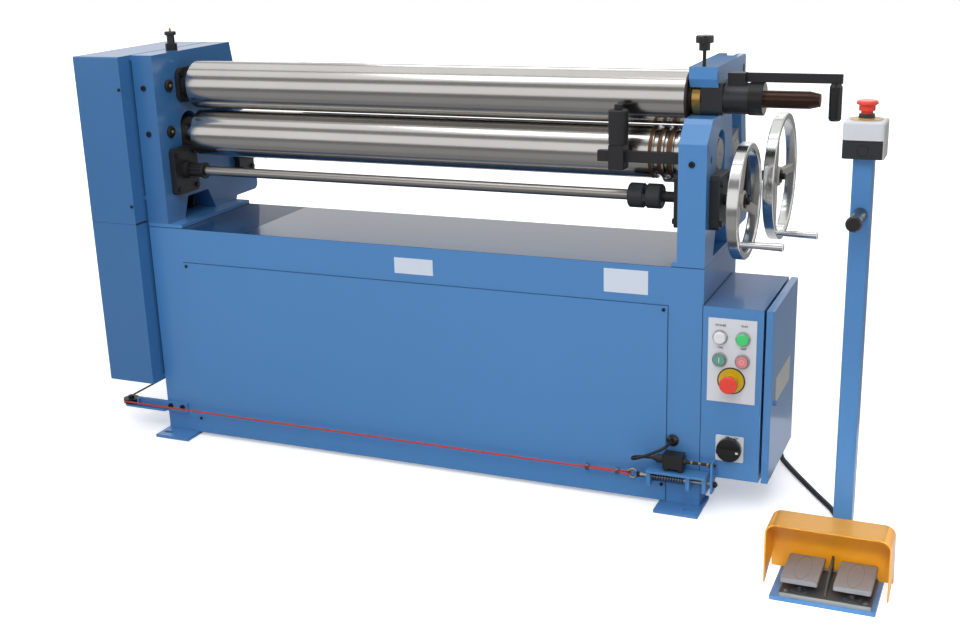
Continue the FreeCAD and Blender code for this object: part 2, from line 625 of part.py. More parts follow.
def frame_foot(top_corners):
    """Side outline of an end frame: foot on the bench, slanted heel behind, arch between."""
    return ([("front_face", "frame_seat"), ("front_face + arch_front_low", "frame_seat"),
             ("front_face + arch_front_high", "arch_top", "8"),
             ("front_face + arch_back_high", "arch_top", "8"),
             ("front_face + arch_back_low", "frame_seat"), ("back_face", "frame_seat"),
             ("back_face + 5", "frame_heel_z"), ("frame_heel_y", "frame_heel_z", "heel_round")]
            + top_corners)


def screw_ways(body, start, depth):
    """Bores for the lift screws below the two ways, and for the two cross shafts."""
    pocket(body, "side", start, depth,
           circles=[("front_shaft_y", "shaft_z", "shaft_r + 1"), ("rear_shaft_y", "shaft_z", "shaft_r + 1")])


def lift_bore(name, x, rear):
    """Bore that a lift screw runs in, from the bottom of its way."""
    if rear:
        top = leaning("-(rear_block_size / 2)", "0")
        return rod(name, (x, top[0], top[1]), "lift_r + 1", "rear_screw_length", Rotation(Vector(1, 0, 0), 180 + lean_now))
    return rod(name, (x, "roll_axis_y", "lower_slot_low + 1"), "lift_r + 1",
               "lower_slot_low + 1 - screw_bottom", "-Z")


def left_end_frame():
    """Left side plate: bearing bore for the top roll, blind ways for the two lower rolls."""
    body = new_body("left_frame_body")
    top = [("frame_back", "left_top"), ("front_face", "left_top")]
    pad(body, "side", "left_side", "frame_thick", [frame_foot(top)],
        [("roll_axis_y", "top_axis_z", "housing_bore / 2")])
    upright, slanted = slots()
    pocket(body, "side", "left_side + frame_web", "frame_thick", [upright])
    pocket(body, "side", "left_side + frame_web", "frame_thick", [slanted])
    half = "journal_r + 4"
    pocket(body, "side", "left_side - 1", "frame_web + 2",
           [rectangle(("roll_axis_y - (%s)" % half, "lower_axis_z - lower_drop - (%s)" % half),
                      ("roll_axis_y + (%s)" % half, "lower_axis_z + lower_rise + (%s)" % half), "journal_r")])
    pocket(body, "side", "left_side - 1", "axle_seat + 1", circles=[("pinion_y", "pinion_z", "axle_dia / 2")])
    screw_ways(body, "left_side + frame_web", "frame_thick")
    middle = "left_side + frame_web + (frame_thick - frame_web) / 2"
    bores = [lift_bore("left_lift_bore_a", middle, False), lift_bore("left_lift_bore_b", middle, True)]
    node("left_end_frame", cut("left_frame", body, bores))


def right_end_frame():
    """Right side plate: open saddle for the top roll's carrier, through ways, tongue for the latch."""
    body = new_body("right_frame_body")
    cheek = "roll_axis_y + carrier_size / 2 + cheek_gap"
    shelf = "top_axis_z - carrier_size / 2"
    back_at = "frame_back + heel_slope * (left_top - (%s))"
    top = [(back_at % "cheek_top", "cheek_top"), (cheek, "cheek_top"), (cheek, shelf, "4"),
           ("front_face + saddle_shelf_y", shelf), ("front_face + saddle_front", "right_front_top + 37"),
           ("front_face", "right_front_top")]
    pad(body, "side", "right_inner", "frame_thick", [frame_foot(top)])
    upright, slanted = slots()
    pocket(body, "side", "right_inner - 1", "frame_thick + 2", [upright])
    pocket(body, "side", "right_inner - 1", "frame_thick + 2", [slanted])
    screw_ways(body, "right_inner - 1", "frame_thick + 2")
    pocket(body, "side", "right_inner - 1", "frame_thick + 2",
           circles=[("front_face + cone_bar_y", "cone_bar_z", "cone_spigot_dia / 2")])
    pocket(body, "side", "right_inner - 1", "bush_flange + 4",
           circles=[("roll_axis_y", "top_axis_z", "bush_dia / 2 + 1")])
    tongue = new_body("tongue_body")
    reach = "latch_pin_dia"
    pad(tongue, "side", "right_inner + (frame_thick - hinge_tongue) / 2", "hinge_tongue",
        [[("latch_pin_y - %s" % reach, "cheek_top - 8"), ("latch_pin_y + %s" % reach, "cheek_top - 8"),
          ("latch_pin_y + %s" % reach, "latch_pin_z + %s" % reach, "latch_pin_dia * 0.9"),
          ("latch_pin_y - %s" % reach, "latch_pin_z + %s" % reach, "latch_pin_dia * 0.9")]],
        [("latch_pin_y", "latch_pin_z", "pin_r")])
    middle = "right_inner + frame_thick / 2"
    bores = [lift_bore("right_lift_bore_a", middle, False), lift_bore("right_lift_bore_b", middle, True)]
    whole = fuse("right_frame_whole", [body, tongue])
    node("right_end_frame", cut("right_frame", whole, bores))


def frame_screws():
    """Socket screws in the front faces of the end frames."""
    places = [("left_side + 29", "930"), ("left_side + 31", "814"), ("right_side - 32", "801")]
    group(SCREWS, [turned("frame_screw", [("0", "0"), ("0", "7"), ("4", "7", "1"), ("4", "3"), ("2", "3"), ("2", "0")],
                          (x, "front_face", z), "-Y") for x, z in places])


def lobed_flange():
    """Four-bolt flange unit that carries the top roll's left journal and lets it tilt a little."""
    body = new_body("top_bearing_body")
    half = "flange_size / 2"
    low = ("roll_axis_y - %s" % half, "top_axis_z - %s" % half)
    high = ("roll_axis_y + %s" % half, "top_axis_z + %s" % half)
    reach = "(flange_size / 2 - 12)"
    bolts = [("roll_axis_y %s %s" % (a, reach), "top_axis_z %s %s" % (b, reach), "4.5")
             for a in "+-" for b in "+-"]
    pad(body, "side", "left_inner", "flange_thick", [rectangle(low, high, "flange_round")], bolts)
    centre = ("roll_axis_y", "top_axis_z")
    pad(body, "side", "left_inner + flange_thick", "flange_boss", circles=[centre + ("flange_boss_dia / 2",)])
    pad(body, "side", "left_side + 4", "frame_thick - 4", circles=[centre + ("housing_bore / 2 - fit",)])
    pocket(body, "side", "left_side - 1", "frame_thick * 2", circles=[centre + ("bore_r",)])
    node("top_left_bearing", body)
    heads = [rod("flange_bolt", ("left_inner + flange_thick", y, z), "7", "6", "+X") for y, z, _ in bolts]
    heads += [rod("flange_bolt_shank", ("left_inner", y, z), "4.4", "flange_thick", "+X")
              for y, z, _ in bolts]
    pairs = [fuse("flange_bolt_%d" % i, [heads[i], heads[i + 4]]) for i in range(4)]
    group(SCREWS, pairs)


def grease_caps():
    """Round grease fittings on the inner face of the left frame, in front of each roll's bearing."""
    caps = []
    for name, depth, height in (("upper", "58", "930"), ("lower", "49", "814")):
        outline = [("0", "0"), ("0", "16"), ("3", "16"), ("6", "12"), ("6", "4"), ("10", "3"), ("10", "0")]
        caps.append(turned("grease_cap_" + name, outline, ("left_inner", "front_face + " + depth, height)))
    group(SCREWS, caps)


# --- rolls --------------------------------------------------------------------------------------------
def roll_outline(left_end, right_end, grooves=False):
    """Half section of a roll: ground barrel with eased edges, stepped journals, optional wire grooves."""
    barrel = "roll_length"
    corners = [("-(%s)" % left_end, "0"), ("-(%s)" % left_end, "journal_r"), ("0", "journal_r"),
               ("0", "roll_r - roll_edge"), ("roll_edge", "roll_r")]
    if grooves:
        for name in "cba":
            start = "(roll_length - groove_%s - groove_%s_width / 2)" % (name, name)
            corners += [(start, "roll_r"), (start + " + 1.5", "roll_r - groove_depth"),
                        (start + " + groove_%s_width - 1.5" % name, "roll_r - groove_depth"),
                        (start + " + groove_%s_width" % name, "roll_r")]
    corners += [("roll_length - roll_edge", "roll_r"), ("roll_length", "roll_r - roll_edge"),
                (barrel, "journal_r"), ("roll_length + (%s)" % right_end, "journal_r"),
                ("roll_length + (%s)" % right_end, "0")]
    return corners


def top_roll():
    """Upper pinch roll, with a stepped neck and a long tapered tail at the operator's right."""
    left = "roll_left - gear_left + 2"
    neck = "roll_length + neck_length"
    tail = "tail_x - roll_left"
    corners = [("-(%s)" % left, "0"), ("-(%s)" % left, "journal_r"), ("0", "journal_r"),
               ("0", "roll_r - roll_edge"), ("roll_edge", "roll_r"), ("roll_length - roll_edge", "roll_r"),
               ("roll_length", "roll_r - roll_edge"), ("roll_length", "neck_dia / 2 - 4"),
               (neck, "neck_dia / 2 - 4"), (neck, "journal_r"), (tail, "journal_r"), (tail, "tail_dia / 2"),
               ("(%s) + tail_length - tail_taper" % tail, "tail_dia / 2"),
               ("(%s) + tail_length" % tail, "tail_tip_dia / 2"), ("(%s) + tail_length" % tail, "0")]
    bar = turned("top_roll", corners, ("roll_left", "roll_axis_y", "top_axis_z"))
    collar = turned("collar", [("0", "journal_r - 2"), ("0", "collar_dia / 2"),
                               ("collar_length", "collar_dia / 2", "2"), ("collar_length", "journal_r - 2")],
                    ("collar_x", "roll_axis_y", "top_axis_z"))
    node("top_roll", fuse("top_roll_whole", [bar, collar]))


def lower_roll():
    """Lower pinch roll with the three wire grooves near its right end."""
    outline = roll_outline("roll_left - gear_left + 2", "roll_right_gap + frame_thick - block_inset - end_cap_thick - seat_gap", True)
    node("lower_roll", turned("lower_roll", outline, ("roll_left", "roll_axis_y", "lower_axis_z")))


def rear_roll():
    """Rear forming roll, held between the slanted ways."""
    outline = roll_outline("roll_left_gap + block_depth", "roll_right_gap + frame_thick - block_inset - end_cap_thick - seat_gap")
    node("rear_roll", turned("rear_roll", outline, ("roll_left", "rear_axis_y", "rear_axis_z")))


def roll_blocks(which, axis_y, axis_z, lean):
    """Pair of square bearing blocks that slide in the frames' ways, the left one blind."""
    turn = Rotation(Vector(1, 0, 0), lean)
    half = "rear_block_size / 2" if lean else "block_size / 2"
    for side, start, depth in (("left", "left_side + frame_web + 1", "block_depth"),
                               ("right", "right_inner", "(frame_thick - block_inset - end_cap_thick)")):
        body = new_body("%s_block_%s_body" % (which, side))
        outline = (rectangle if lean else domed)(("-" + half, "-" + half), (half, half), "2" if lean else half)
        pad(body, "side", "0", depth, [outline], [("0", "0", "bore_r")])
        place(body, (start, axis_y, axis_z), turn)
        parts = [body]
        if side == "right":
            cap = new_body("%s_cap_body" % which)
            pad(cap, "side", depth, "end_cap_thick", circles=[("0", "0", "end_cap_dia / 2"), ("0", "0", "cap_hole_dia / 2")])
            parts.append(place(cap, (start, axis_y, axis_z), turn))
        if side == "left":
            screw_x = "left_side + frame_web + (frame_thick - frame_web) / 2"
        else:
            screw_x = "right_inner + frame_thick / 2"
        drop = "(%s)" % half
        if lean:
            top = leaning("-" + drop + " + 4", "0")
            way = Rotation(Vector(1, 0, 0), 180 + lean)
        else:
            top = (axis_y, "%s - %s + 4" % (axis_z, drop))
            way = "-Z"
        screw = rod("%s_lift_screw_%s" % (which, side), (screw_x, top[0], top[1]), "lift_r",
                    "%s_screw_length" % which, way)
        parts.append(screw)
        node("%s_roll_blocks" % which, fuse("%s_block_%s_whole" % (which, side), parts))


def top_carrier():
    """Square carrier that clamps the top roll's right neck in the saddle, with its round nose and bush."""
    body = new_body("carrier_body")
    half = "carrier_size / 2"
    pad(body, "side", "0", "carrier_length", [rectangle(("-" + half, "-" + half), (half, half), "carrier_round")])
    pad(body, "side", "carrier_length", "carrier_nose", circles=[("0", "0", "carrier_nose_dia / 2")])
    pocket(body, "side", "-1", "carrier_length + carrier_nose + 2", circles=[("0", "0", "bore_r")])
    node("top_roll_carrier", body, ("carrier_x", "roll_axis_y", "top_axis_z"))
    node("top_roll_bush", turned("bush", [("0", "bore_r"), ("0", "bush_dia / 2", "2"),
                                         ("bush_flange", "bush_dia / 2", "2"), ("bush_flange", "bore_r")],
                                 ("carrier_x - bush_flange - 0.1", "roll_axis_y", "top_axis_z")))


# --- lift drives --------------------------------------------------------------------------------------
def worm_boxes():
    """Worm boxes: a thick flanged plate on each frame's inner face, and a deeper box outside the right one."""
    for which, shaft_y in (("front", "front_shaft_y"), ("rear", "rear_shaft_y")):
        low = (shaft_y + " - box_depth / 2", "shaft_z - box_height / 2")
        high = (shaft_y + " + box_depth / 2", "shaft_z + box_height / 2")
        if which == "rear":
            high = ("frame_heel_y - 40", "shaft_z + box_height / 2 - 8")
        bore = [(shaft_y, "shaft_z", "shaft_r + fit")]
        bolts = []
        left = new_body("left_box_%s_body" % which)
        pad(left, "side", "left_inner", "box_thick", [rectangle(low, high, "box_round")], bore + bolts)
        pad(left, "side", "left_inner + box_thick", "boss_length",
            circles=[(shaft_y, "shaft_z", "boss_dia / 2"), (shaft_y, "shaft_z", "shaft_r + fit")])
        node("worm_boxes", left)
        right = new_body("right_box_%s_body" % which)
        pad(right, "side", "right_inner - box_thick", "box_thick", [rectangle(low, high, "box_round")],
            bore + bolts)
        roll_y, roll_z = (("roll_axis_y", "lower_axis_z") if which == "front" else ("rear_axis_y", "rear_axis_z"))
        relief = rod("relief_" + which, ("right_inner - box_thick - 1", roll_y, roll_z),
                     "roll_r + lower_drop + roll_relief", "box_thick + 2", "+X")
        node("worm_boxes", cut("right_flange_" + which, right, [relief]))
        outer = new_body("outer_box_%s_body" % which)
        pad(outer, "side", "right_side", "outer_box_thick", [rectangle(low, high, "box_round")], bore)
        soften(outer, "Chamfer", "3", lambda edge: edge.CenterOfMass.x > num("right_side + outer_box_thick") - 1
               and edge.Length > num("box_thick") and edge.Curve.TypeId == "Part::GeomLine")
        node("worm_boxes", outer)
    heads = []
    for which, shaft_y in (("front", "front_shaft_y"), ("rear", "rear_shaft_y")):
        back = shaft_y + (" + 38" if which == "front" else " + 11")
        spots = [(y, z) for y in (shaft_y + " - 38", back) for z in ("shaft_z - 46", "shaft_z + 42")]
        for y, z in spots:
            heads.append(rod("box_bolt", ("right_side + outer_box_thick", y, z), "6.5", "6", "+X"))
            heads.append(rod("box_bolt", ("left_inner + box_thick", y, z), "6.5", "5", "+X"))
            if z.startswith("shaft_z -"):
                heads.append(rod("box_bolt", ("right_inner - box_thick", y, z), "6.5", "5", "-X"))
    group(SCREWS, heads)


def cross_shaft(which, shaft_y, rim_x):
    """Ground shaft across the machine, from the left worm box to the handwheel, with its ribbed hub."""
    length = "(%s) - wheel_dish + wheel_hub_length / 2 - left_side - frame_web - 2" % rim_x
    body = rod(which + "_shaft_bar", ("left_side + frame_web + 2", shaft_y, "shaft_z"), "shaft_r", length, "+X")
    start = "left_inner + box_thick + boss_length + 0.5"
    hub = new_body(which + "_hub_body")
    turn_profile(hub, [("0", "shaft_r - 2"), ("0", "hub_dia / 2 + 3"), ("3", "hub_dia / 2 + 3"), ("3", "hub_dia / 2"),
                       ("hub_length - 5", "hub_dia / 2"), ("hub_length - 5", "hub_dia / 2 + 3"),
                       ("hub_length", "hub_dia / 2 + 3", "1"), ("hub_length", "shaft_r - 2")])
    flute = pocket(hub, "side", "3", "hub_length - 8", circles=[("0", "hub_dia / 2 + 3.5", "6.5")])
    repeat(hub, flute, "hub_ribs", "X_Axis")
    place(hub, (start, shaft_y, "shaft_z"))
    halves = jaw_coupling(which, shaft_y)
    node(which + "_cross_shaft", fuse(which + "_cross_shaft_whole", [body, hub] + halves))


def jaw_coupling(which, shaft_y):
    """Black jaw coupling near the right end of a cross shaft: two halves with interlocking jaws."""
    right = "right_inner - box_thick - coupling_from_box"
    halves = []
    for name, start in (("a", right + " - 2 * coupling_half - coupling_gap"), ("b", right + " - coupling_half")):
        halves.append(turned("%s_half_%s" % (which, name),
                             [("0", "shaft_r - 2"), ("0", "coupling_dia / 2 - 3"), ("3", "coupling_dia / 2"),
                              ("coupling_half - 3", "coupling_dia / 2"),
                              ("coupling_half", "coupling_dia / 2 - 3"), ("coupling_half", "shaft_r - 2")],
                             ("(%s)" % start, shaft_y, "shaft_z")))
    middle = "(%s) - coupling_half - coupling_gap / 2" % right
    jaws = box(which + "_jaws", (middle + " - 3", shaft_y + " - coupling_dia * 0.46", "shaft_z - 8"),
               (middle + " + 3", shaft_y + " + coupling_dia * 0.46", "shaft_z + 8"))
    hole = rod(which + "_jaw_hole", (middle + " - 4", shaft_y, "shaft_z"), "shaft_r", "8", "+X")
    return halves + [cut(which + "_jaw", jaws, [hole])]


def handwheel(which, shaft_y, rim_x, dia):
    """Chromed handwheel: flat banded rim, three dished cast spokes, and a turned hub with its cap screw."""
    centre = (rim_x, shaft_y, "shaft_z")
    hub_low = "-wheel_dish - wheel_hub_length / 2"
    hub_high = "-wheel_dish + wheel_hub_length / 2"
    hub = turned(which + "_wheel_hub", [(hub_low, "shaft_r"), (hub_low, "wheel_hub_dia / 2"),
                                        (hub_high, "wheel_hub_dia / 2", "4"), (hub_high, "shaft_r")], centre)
    screw = turned(which + "_hub_screw", [("0", "0"), ("0", "shaft_r + 4"), ("3", "shaft_r + 4"),
                                          ("3", "hub_screw_dia / 2"), ("hub_screw", "hub_screw_dia / 2", "1"),
                                          ("hub_screw", "4"), ("hub_screw - 6", "4"), ("hub_screw - 6", "0")],
                   ("%s + (%s)" % (rim_x, hub_high), shaft_y, "shaft_z"))
    band = turned(which + "_rim", [("-rim_width / 2", "%s / 2 - rim_deep" % dia, "3"),
                                   ("-rim_width / 2", "%s / 2" % dia, "3"), ("rim_width / 2", "%s / 2" % dia, "3"),
                                   ("rim_width / 2", "%s / 2 - rim_deep" % dia, "3")], centre)
    parts = [hub, screw, band]
    inner, outer = "wheel_hub_dia / 2 - 4", "%s / 2 - rim_deep + 3" % dia
    for index in range(3):
        spoke = new_body("%s_spoke_%d" % (which, index))
        pad(spoke, "top", "0", "spoke_width",
            [[("-wheel_dish - spoke_thick / 2 - 3", inner), ("-spoke_thick / 2", outer),
              ("spoke_thick / 2", outer), ("-wheel_dish + spoke_thick / 2 + 3", inner)]], midplane=True)
        soften(spoke, "Fillet", "4", lambda edge: edge.Length > num(dia) / 5)
        parts.append(place(spoke, centre, Rotation(Vector(1, 0, 0), WHEEL_TURN[which] + 120 * index)))
    crank_y, crank_z = crank_point(which, shaft_y, dia)
    pin = rod(which + "_crank_pin", ("%s + rim_width / 2 - 6" % rim_x, crank_y, crank_z), "crank_pin_dia / 2",
              "crank_length - 2", "+X")
    node(which + "_handwheel", fuse(which + "_handwheel_whole", parts + [pin]))
    grip = turned(which + "_grip", [("0", "crank_pin_dia / 2 + fit"), ("0", "crank_small_dia / 2"),
                                    ("crank_length - 2", "crank_dia / 2"), ("crank_length", "crank_dia / 2 - 2"),
                                    ("crank_length", "0"), ("crank_length - 6", "0"),
                                    ("crank_length - 6", "crank_pin_dia / 2 + fit")],
                  ("%s + rim_width / 2 + 1" % rim_x, crank_y, crank_z))
    node(which + "_crank_grip", grip)


def crank_point(which, shaft_y, dia):
    """Centre of a wheel's crank on the rim's mean circle."""
    angle = which + "_crank_angle"
    return ("%s + (%s / 2 - rim_deep / 2) * cos(%s)" % (shaft_y, dia, angle),
            "shaft_z + (%s / 2 - rim_deep / 2) * sin(%s)" % (dia, angle))


# --- top latch ----------------------------------------------------------------------------------------
def top_latch():
    """Steel bar hinged at the back of the right frame that clamps the top roll's carrier from above."""
    body = new_body("latch_body")
    cup = "top_axis_z + carrier_size / 2 + seat_gap"
    rear = "front_face + latch_back"
    inner = "roll_axis_y - carrier_size / 2 - 0.5"
    low = "cheek_top + seat_gap"
    outline = [("front_face + latch_front", "latch_top"), ("front_face + latch_front", "latch_top - latch_nose"),
               ("front_face + latch_chin_y", "latch_chin_z"), (inner, "latch_chin_z"), (inner, cup),
               ("roll_axis_y + carrier_size / 2 + cheek_gap + 2", cup),
               ("roll_axis_y + carrier_size / 2 + cheek_gap + 10", low), ("latch_pin_y - 4", low),
               (rear, low + " + 19"), (rear, "latch_top - 6"), (rear + " - 6", "latch_top")]
    pad(body, "side", "right_inner", "frame_thick", [outline],
        [("latch_pin_y", "latch_pin_z", "pin_r + fit")])
    gap = "(frame_thick - hinge_tongue) / 2 - 0.5"
    pocket(body, "side", "right_inner + (%s)" % gap, "hinge_tongue + 1",
           [[("latch_pin_y - latch_pin_dia * 1.6", "cheek_top - 5"), (rear + " + 5", "cheek_top - 5"),
             (rear + " + 5", "latch_top + 5"), ("latch_pin_y - latch_pin_dia * 1.6", "latch_top + 5")]])
    pocket(body, "side", "right_inner - 1", "bush_flange + 3",
           circles=[("roll_axis_y", "top_axis_z", "bush_dia / 2 + 1")])
    hole = rod("latch_hole", ("right_side - latch_screw_x", "front_face + latch_screw_y", "latch_top + 1"),
               "knob_stem_dia / 2 + fit", "latch_stem + 3", "-Z")
    node("top_latch", cut("latch", body, [hole]))
    node(SCREWS, turned("latch_pin_turned",
                             [("-1", "0"), ("-1", "pin_r", "0.8"), ("frame_thick + 1", "pin_r", "0.8"),
                              ("frame_thick + 1", "0")], ("right_inner", "latch_pin_y", "latch_pin_z")))


def lobed_knob(name, at, stem):
    """Black five-lobed clamping knob with its neck and threaded stem, standing on end."""
    body = new_body(name + "_body")
    pad(body, "top", stem, "knob_neck", circles=[("0", "0", "knob_neck_dia / 2")])
    pad(body, "top", "(%s) + knob_neck" % stem, "knob_height", circles=[("0", "0", "knob_dia / 2")])
    soften(body, "Fillet", "4", lambda edge: edge.CenterOfMass.z > num(stem) + num("knob_neck + knob_height") - 1)
    bite = pocket(body, "top", "(%s) + knob_neck - 1" % stem, "knob_height + 2",
                  circles=[("knob_dia * 0.62", "0", "knob_dia * 0.2")])
    repeat(body, bite, "knob_lobes", "Z_Axis")
    pad(body, "top", "0", stem, circles=[("0", "0", "knob_stem_dia / 2")])
    return place(body, at)


def knobs():
    """Screw in the latch, and the greased adjusting knob on top of the left frame."""
    node("latch_knob", lobed_knob("latch_knob", ("right_side - latch_screw_x", "front_face + latch_screw_y",
                                                 "latch_top - latch_stem"), "latch_stem * 2"))
    at = ("(left_side + left_inner) / 2", "front_face + left_knob_y", "left_top")
    node(SCREWS, turned("left_knob_collar", [("0", "0"), ("0", "left_collar_dia / 2"),
                                             ("left_collar", "left_collar_dia / 2", "2"), ("left_collar", "0")],
                        at, "+Z"))
    top = "left_stem + left_disc"
    node("left_knob", turned("left_knob", [
        ("0.1", "0"), ("0.1", "left_stem_dia / 2"), ("left_stem", "left_stem_dia / 2"),
        ("left_stem", "left_collar_dia / 2", "2"), (top, "left_collar_dia / 2", "3"), (top, "nipple_dia / 2"),
        (top + " + nipple * 0.6", "nipple_dia / 2"), (top + " + nipple", "nipple_dia / 4"),
        (top + " + nipple", "0")], (at[0], at[1], "left_top + left_collar"), "+Z"))


def lift_handle():
    """Flat bar clamped on the carrier's nose, with a hanging grip, for lifting the top roll's end."""
    base_x = "carrier_x + carrier_length + 6"
    top = "top_axis_z + carrier_nose_dia / 2"
    base = box("handle_foot", (base_x, "roll_axis_y - handle_base_deep / 2", top + " - 6"),
               (base_x + " + handle_base", "roll_axis_y + handle_base_deep / 2", top + " + handle_bar_height + 2"))
    saddle = rod("handle_saddle", (base_x + " - 1", "roll_axis_y", "top_axis_z"), "carrier_nose_dia / 2",
                 "handle_base + 2", "+X")
    foot = cut("handle_base", base, [saddle])
    bar = box("handle_flat", (base_x + " + handle_base", "roll_axis_y - handle_bar_thick / 2", top + " + 2"),
              (base_x + " + handle_reach", "roll_axis_y + handle_bar_thick / 2",
               top + " + 2 + handle_bar_height"))
    end = base_x + " + handle_reach - handle_grip_dia / 2"
    pin = rod("handle_pin", (end, "roll_axis_y", top + " + 4"), "handle_pin_dia / 2 * 0.75",
              "handle_grip - 4", "-Z")
    node("lift_handle", fuse("lift_handle_whole", [foot, bar, pin]))
    grip = turned("lift_grip", [("0", "handle_pin_dia / 2 * 0.75 + fit"), ("0", "handle_grip_dia / 2 - 3"),
                                ("6", "handle_grip_dia / 2", "2"),
                                ("handle_grip - 4", "handle_grip_dia / 2", "3"), ("handle_grip", "handle_grip_dia / 2 - 3"),
                                ("handle_grip", "handle_pin_dia / 2 * 0.75 + fit")],
                  (end, "roll_axis_y", top + " + 1.5"), "-Z")
    node("lift_handle_grip", grip)


# --- cone bending stop --------------------------------------------------------------------------------
def cone_stop():
    """Flat bar from the right frame with a hardened post clamped on it, against which cones are rolled."""
    y = "front_face + cone_bar_y"
    low = "cone_bar_z - cone_bar_height / 2"
    bar = box("cone_flat", ("left_side + cone_bar_left", y + " - cone_bar_thick / 2", low),
              ("right_inner", y + " + cone_bar_thick / 2", low + " + cone_bar_height"))
    spigot = rod("cone_spigot", ("right_inner - 2", y, "cone_bar_z"), "cone_spigot_dia / 2",
                 "frame_thick + 2", "+X")
    node("cone_bar", fuse("cone_bar_whole", [bar, spigot]))
    x = "left_side + cone_block_x"
    block = box("cone_block_solid", (x + " - cone_block_width / 2", y + " - cone_block_deep / 2 - 5", "cone_block_low"),
                (x + " + cone_block_width / 2", y + " + cone_block_deep / 2 - 5", "cone_block_top"))
    way = box("cone_block_way", (x + " - cone_block_width", y + " - cone_bar_thick / 2 - slide_gap", low + " - slide_gap"),
              (x + " + cone_block_width", y + " + cone_bar_thick / 2 + slide_gap",
               low + " + cone_bar_height + slide_gap"))
    node("cone_block", cut("cone_block_cut", block, [way]))
    post = turned("cone_post", [("0", "cone_shank_dia / 2 + fit"), ("0", "cone_post_dia / 2 - 1"),
                                ("1", "cone_post_dia / 2"),
                                ("cone_post_top - cone_block_top - 2", "cone_post_dia / 2"),
                                ("cone_post_top - cone_block_top", "cone_post_dia / 2 - 2"),
                                ("cone_post_top - cone_block_top", "cone_shank_dia / 2 + fit")],
                  (x, y + " - 5", "cone_block_top"), "+Z")
    node("cone_block", post)
    head = turned("cone_screw", [("0", "0"), ("0", "cone_shank_dia / 2"),
                                 ("cone_post_top - cone_block_top", "cone_shank_dia / 2"),
                                 ("cone_post_top - cone_block_top", "cone_screw_dia / 2"),
                                 ("cone_post_top - cone_block_top + cone_screw_head", "cone_screw_dia / 2", "1"),
                                 ("cone_post_top - cone_block_top + cone_screw_head", "4"),
                                 ("cone_post_top - cone_block_top + cone_screw_head / 2", "4"),
                                 ("cone_post_top - cone_block_top + cone_screw_head / 2", "0")],
                  (x, y + " - 5", "cone_block_top"), "+Z")
    node("cone_block", head)


# --- drive inside the cover ---------------------------------------------------------------------------
def gear(name, teeth, bore, at, phase, hub=False):
    """Spur gear: a root disc with a patterned tooth, its width along the rolls."""
    body = new_body(name + "_body")
    pitch_r = "gear_module * %s / 2" % teeth
    root = "(%s) - 1.25 * gear_module" % pitch_r
    circles = [("0", "0", root)] + ([("0", "0", bore)] if bore else [])
    pad(body, "side", "0", "gear_width", circles=circles)
    half_pitch = "gear_module * 3.14159 / 4 * (1 - gear_backlash / 2)"
    tip = "(%s) + gear_module * 0.95" % pitch_r
    tooth = pad(body, "side", "0", "gear_width",
                [[("-(%s) * 1.55" % half_pitch, root + " - 1"), ("(%s) * 1.55" % half_pitch, root + " - 1"),
                  (half_pitch, pitch_r), ("(%s) * 0.45" % half_pitch, tip),
                  ("-(%s) * 0.45" % half_pitch, tip), ("-(%s)" % half_pitch, pitch_r)]])
    repeat(body, tooth, teeth)
    return place(body, at, Rotation(Vector(1, 0, 0), phase))


def gear_train():
    """Pair of roll gears, the pinion that drives the upper one, its sprocket, and the stub axle."""
    top_at = ("gear_left", "roll_axis_y", "top_axis_z")
    low_at = ("gear_left", "roll_axis_y", "lower_axis_z")
    node("top_roll_gear", gear("top_gear", "roll_teeth", "journal_r", top_at, 0))
    node("lower_roll_gear", gear("lower_gear", "roll_teeth", "journal_r", low_at, 180 / num("roll_teeth")))
    # The pinion's tooth lies on the line of centres where the upper gear has a gap or a tooth.
    line = math.degrees(math.atan2(num("pinion_z - top_axis_z"), num("pinion_y - roll_axis_y")))
    wheel_step = 360 / num("roll_teeth")
    pinion_step = 360 / num("pinion_teeth")
    wheel_lag = ((line - 90) / wheel_step) % 1
    phase = line + 180 - 90 + (0.5 + wheel_lag) * pinion_step
    pinion = gear("pinion", "pinion_teeth", "axle_dia / 2 + fit", ("gear_left", "pinion_y", "pinion_z"), phase)
    sprocket = chain_wheel("sprocket_driven", "sprocket_dia", "axle_dia / 2 + fit", "pinion_y", "pinion_z")
    neck = new_body("pinion_neck")
    pad(neck, "side", "sprocket_right", "sprocket_gap",
        circles=[("0", "0", "axle_dia / 2 + 10"), ("0", "0", "axle_dia / 2 + fit")])
    place(neck, ("0", "pinion_y", "pinion_z"))
    node("drive_pinion", fuse("drive_pinion_whole", [pinion, neck, sprocket]))
    wide = "axle_dia / 2 + 6"
    node(SCREWS, turned("pinion_axle", [
        ("0", "0"), ("0", "axle_dia / 2"), ("axle_seat", "axle_dia / 2"), ("axle_seat", wide),
        ("axle_seat + gear_gap - 0.5", wide), ("axle_seat + gear_gap - 0.5", "axle_dia / 2"),
        ("axle_length", "axle_dia / 2"), ("axle_length", wide), ("axle_length + 4", wide, "1"),
        ("axle_length + 4", "0")], ("left_side + axle_seat", "pinion_y", "pinion_z"), "-X"))


def chain_wheel(name, dia, bore, y, z):
    """Sprocket with pointed teeth for the drive chain."""
    body = new_body(name + "_body")
    pad(body, "side", "0", "sprocket_thick", circles=[("0", "0", dia + " / 2 - chain_thick / 2"), ("0", "0", bore)])
    tooth = pad(body, "side", "0", "sprocket_thick",
                [[("-3.4", dia + " / 2 - chain_thick / 2 - 1"), ("3.4", dia + " / 2 - chain_thick / 2 - 1"),
                  ("1.2", dia + " / 2 - 1"), ("-1.2", dia + " / 2 - 1")]])
    repeat(body, tooth, "round(%s * 3.14159 / 15.875)" % dia)
    return place(body, ("sprocket_right - sprocket_thick", y, z))


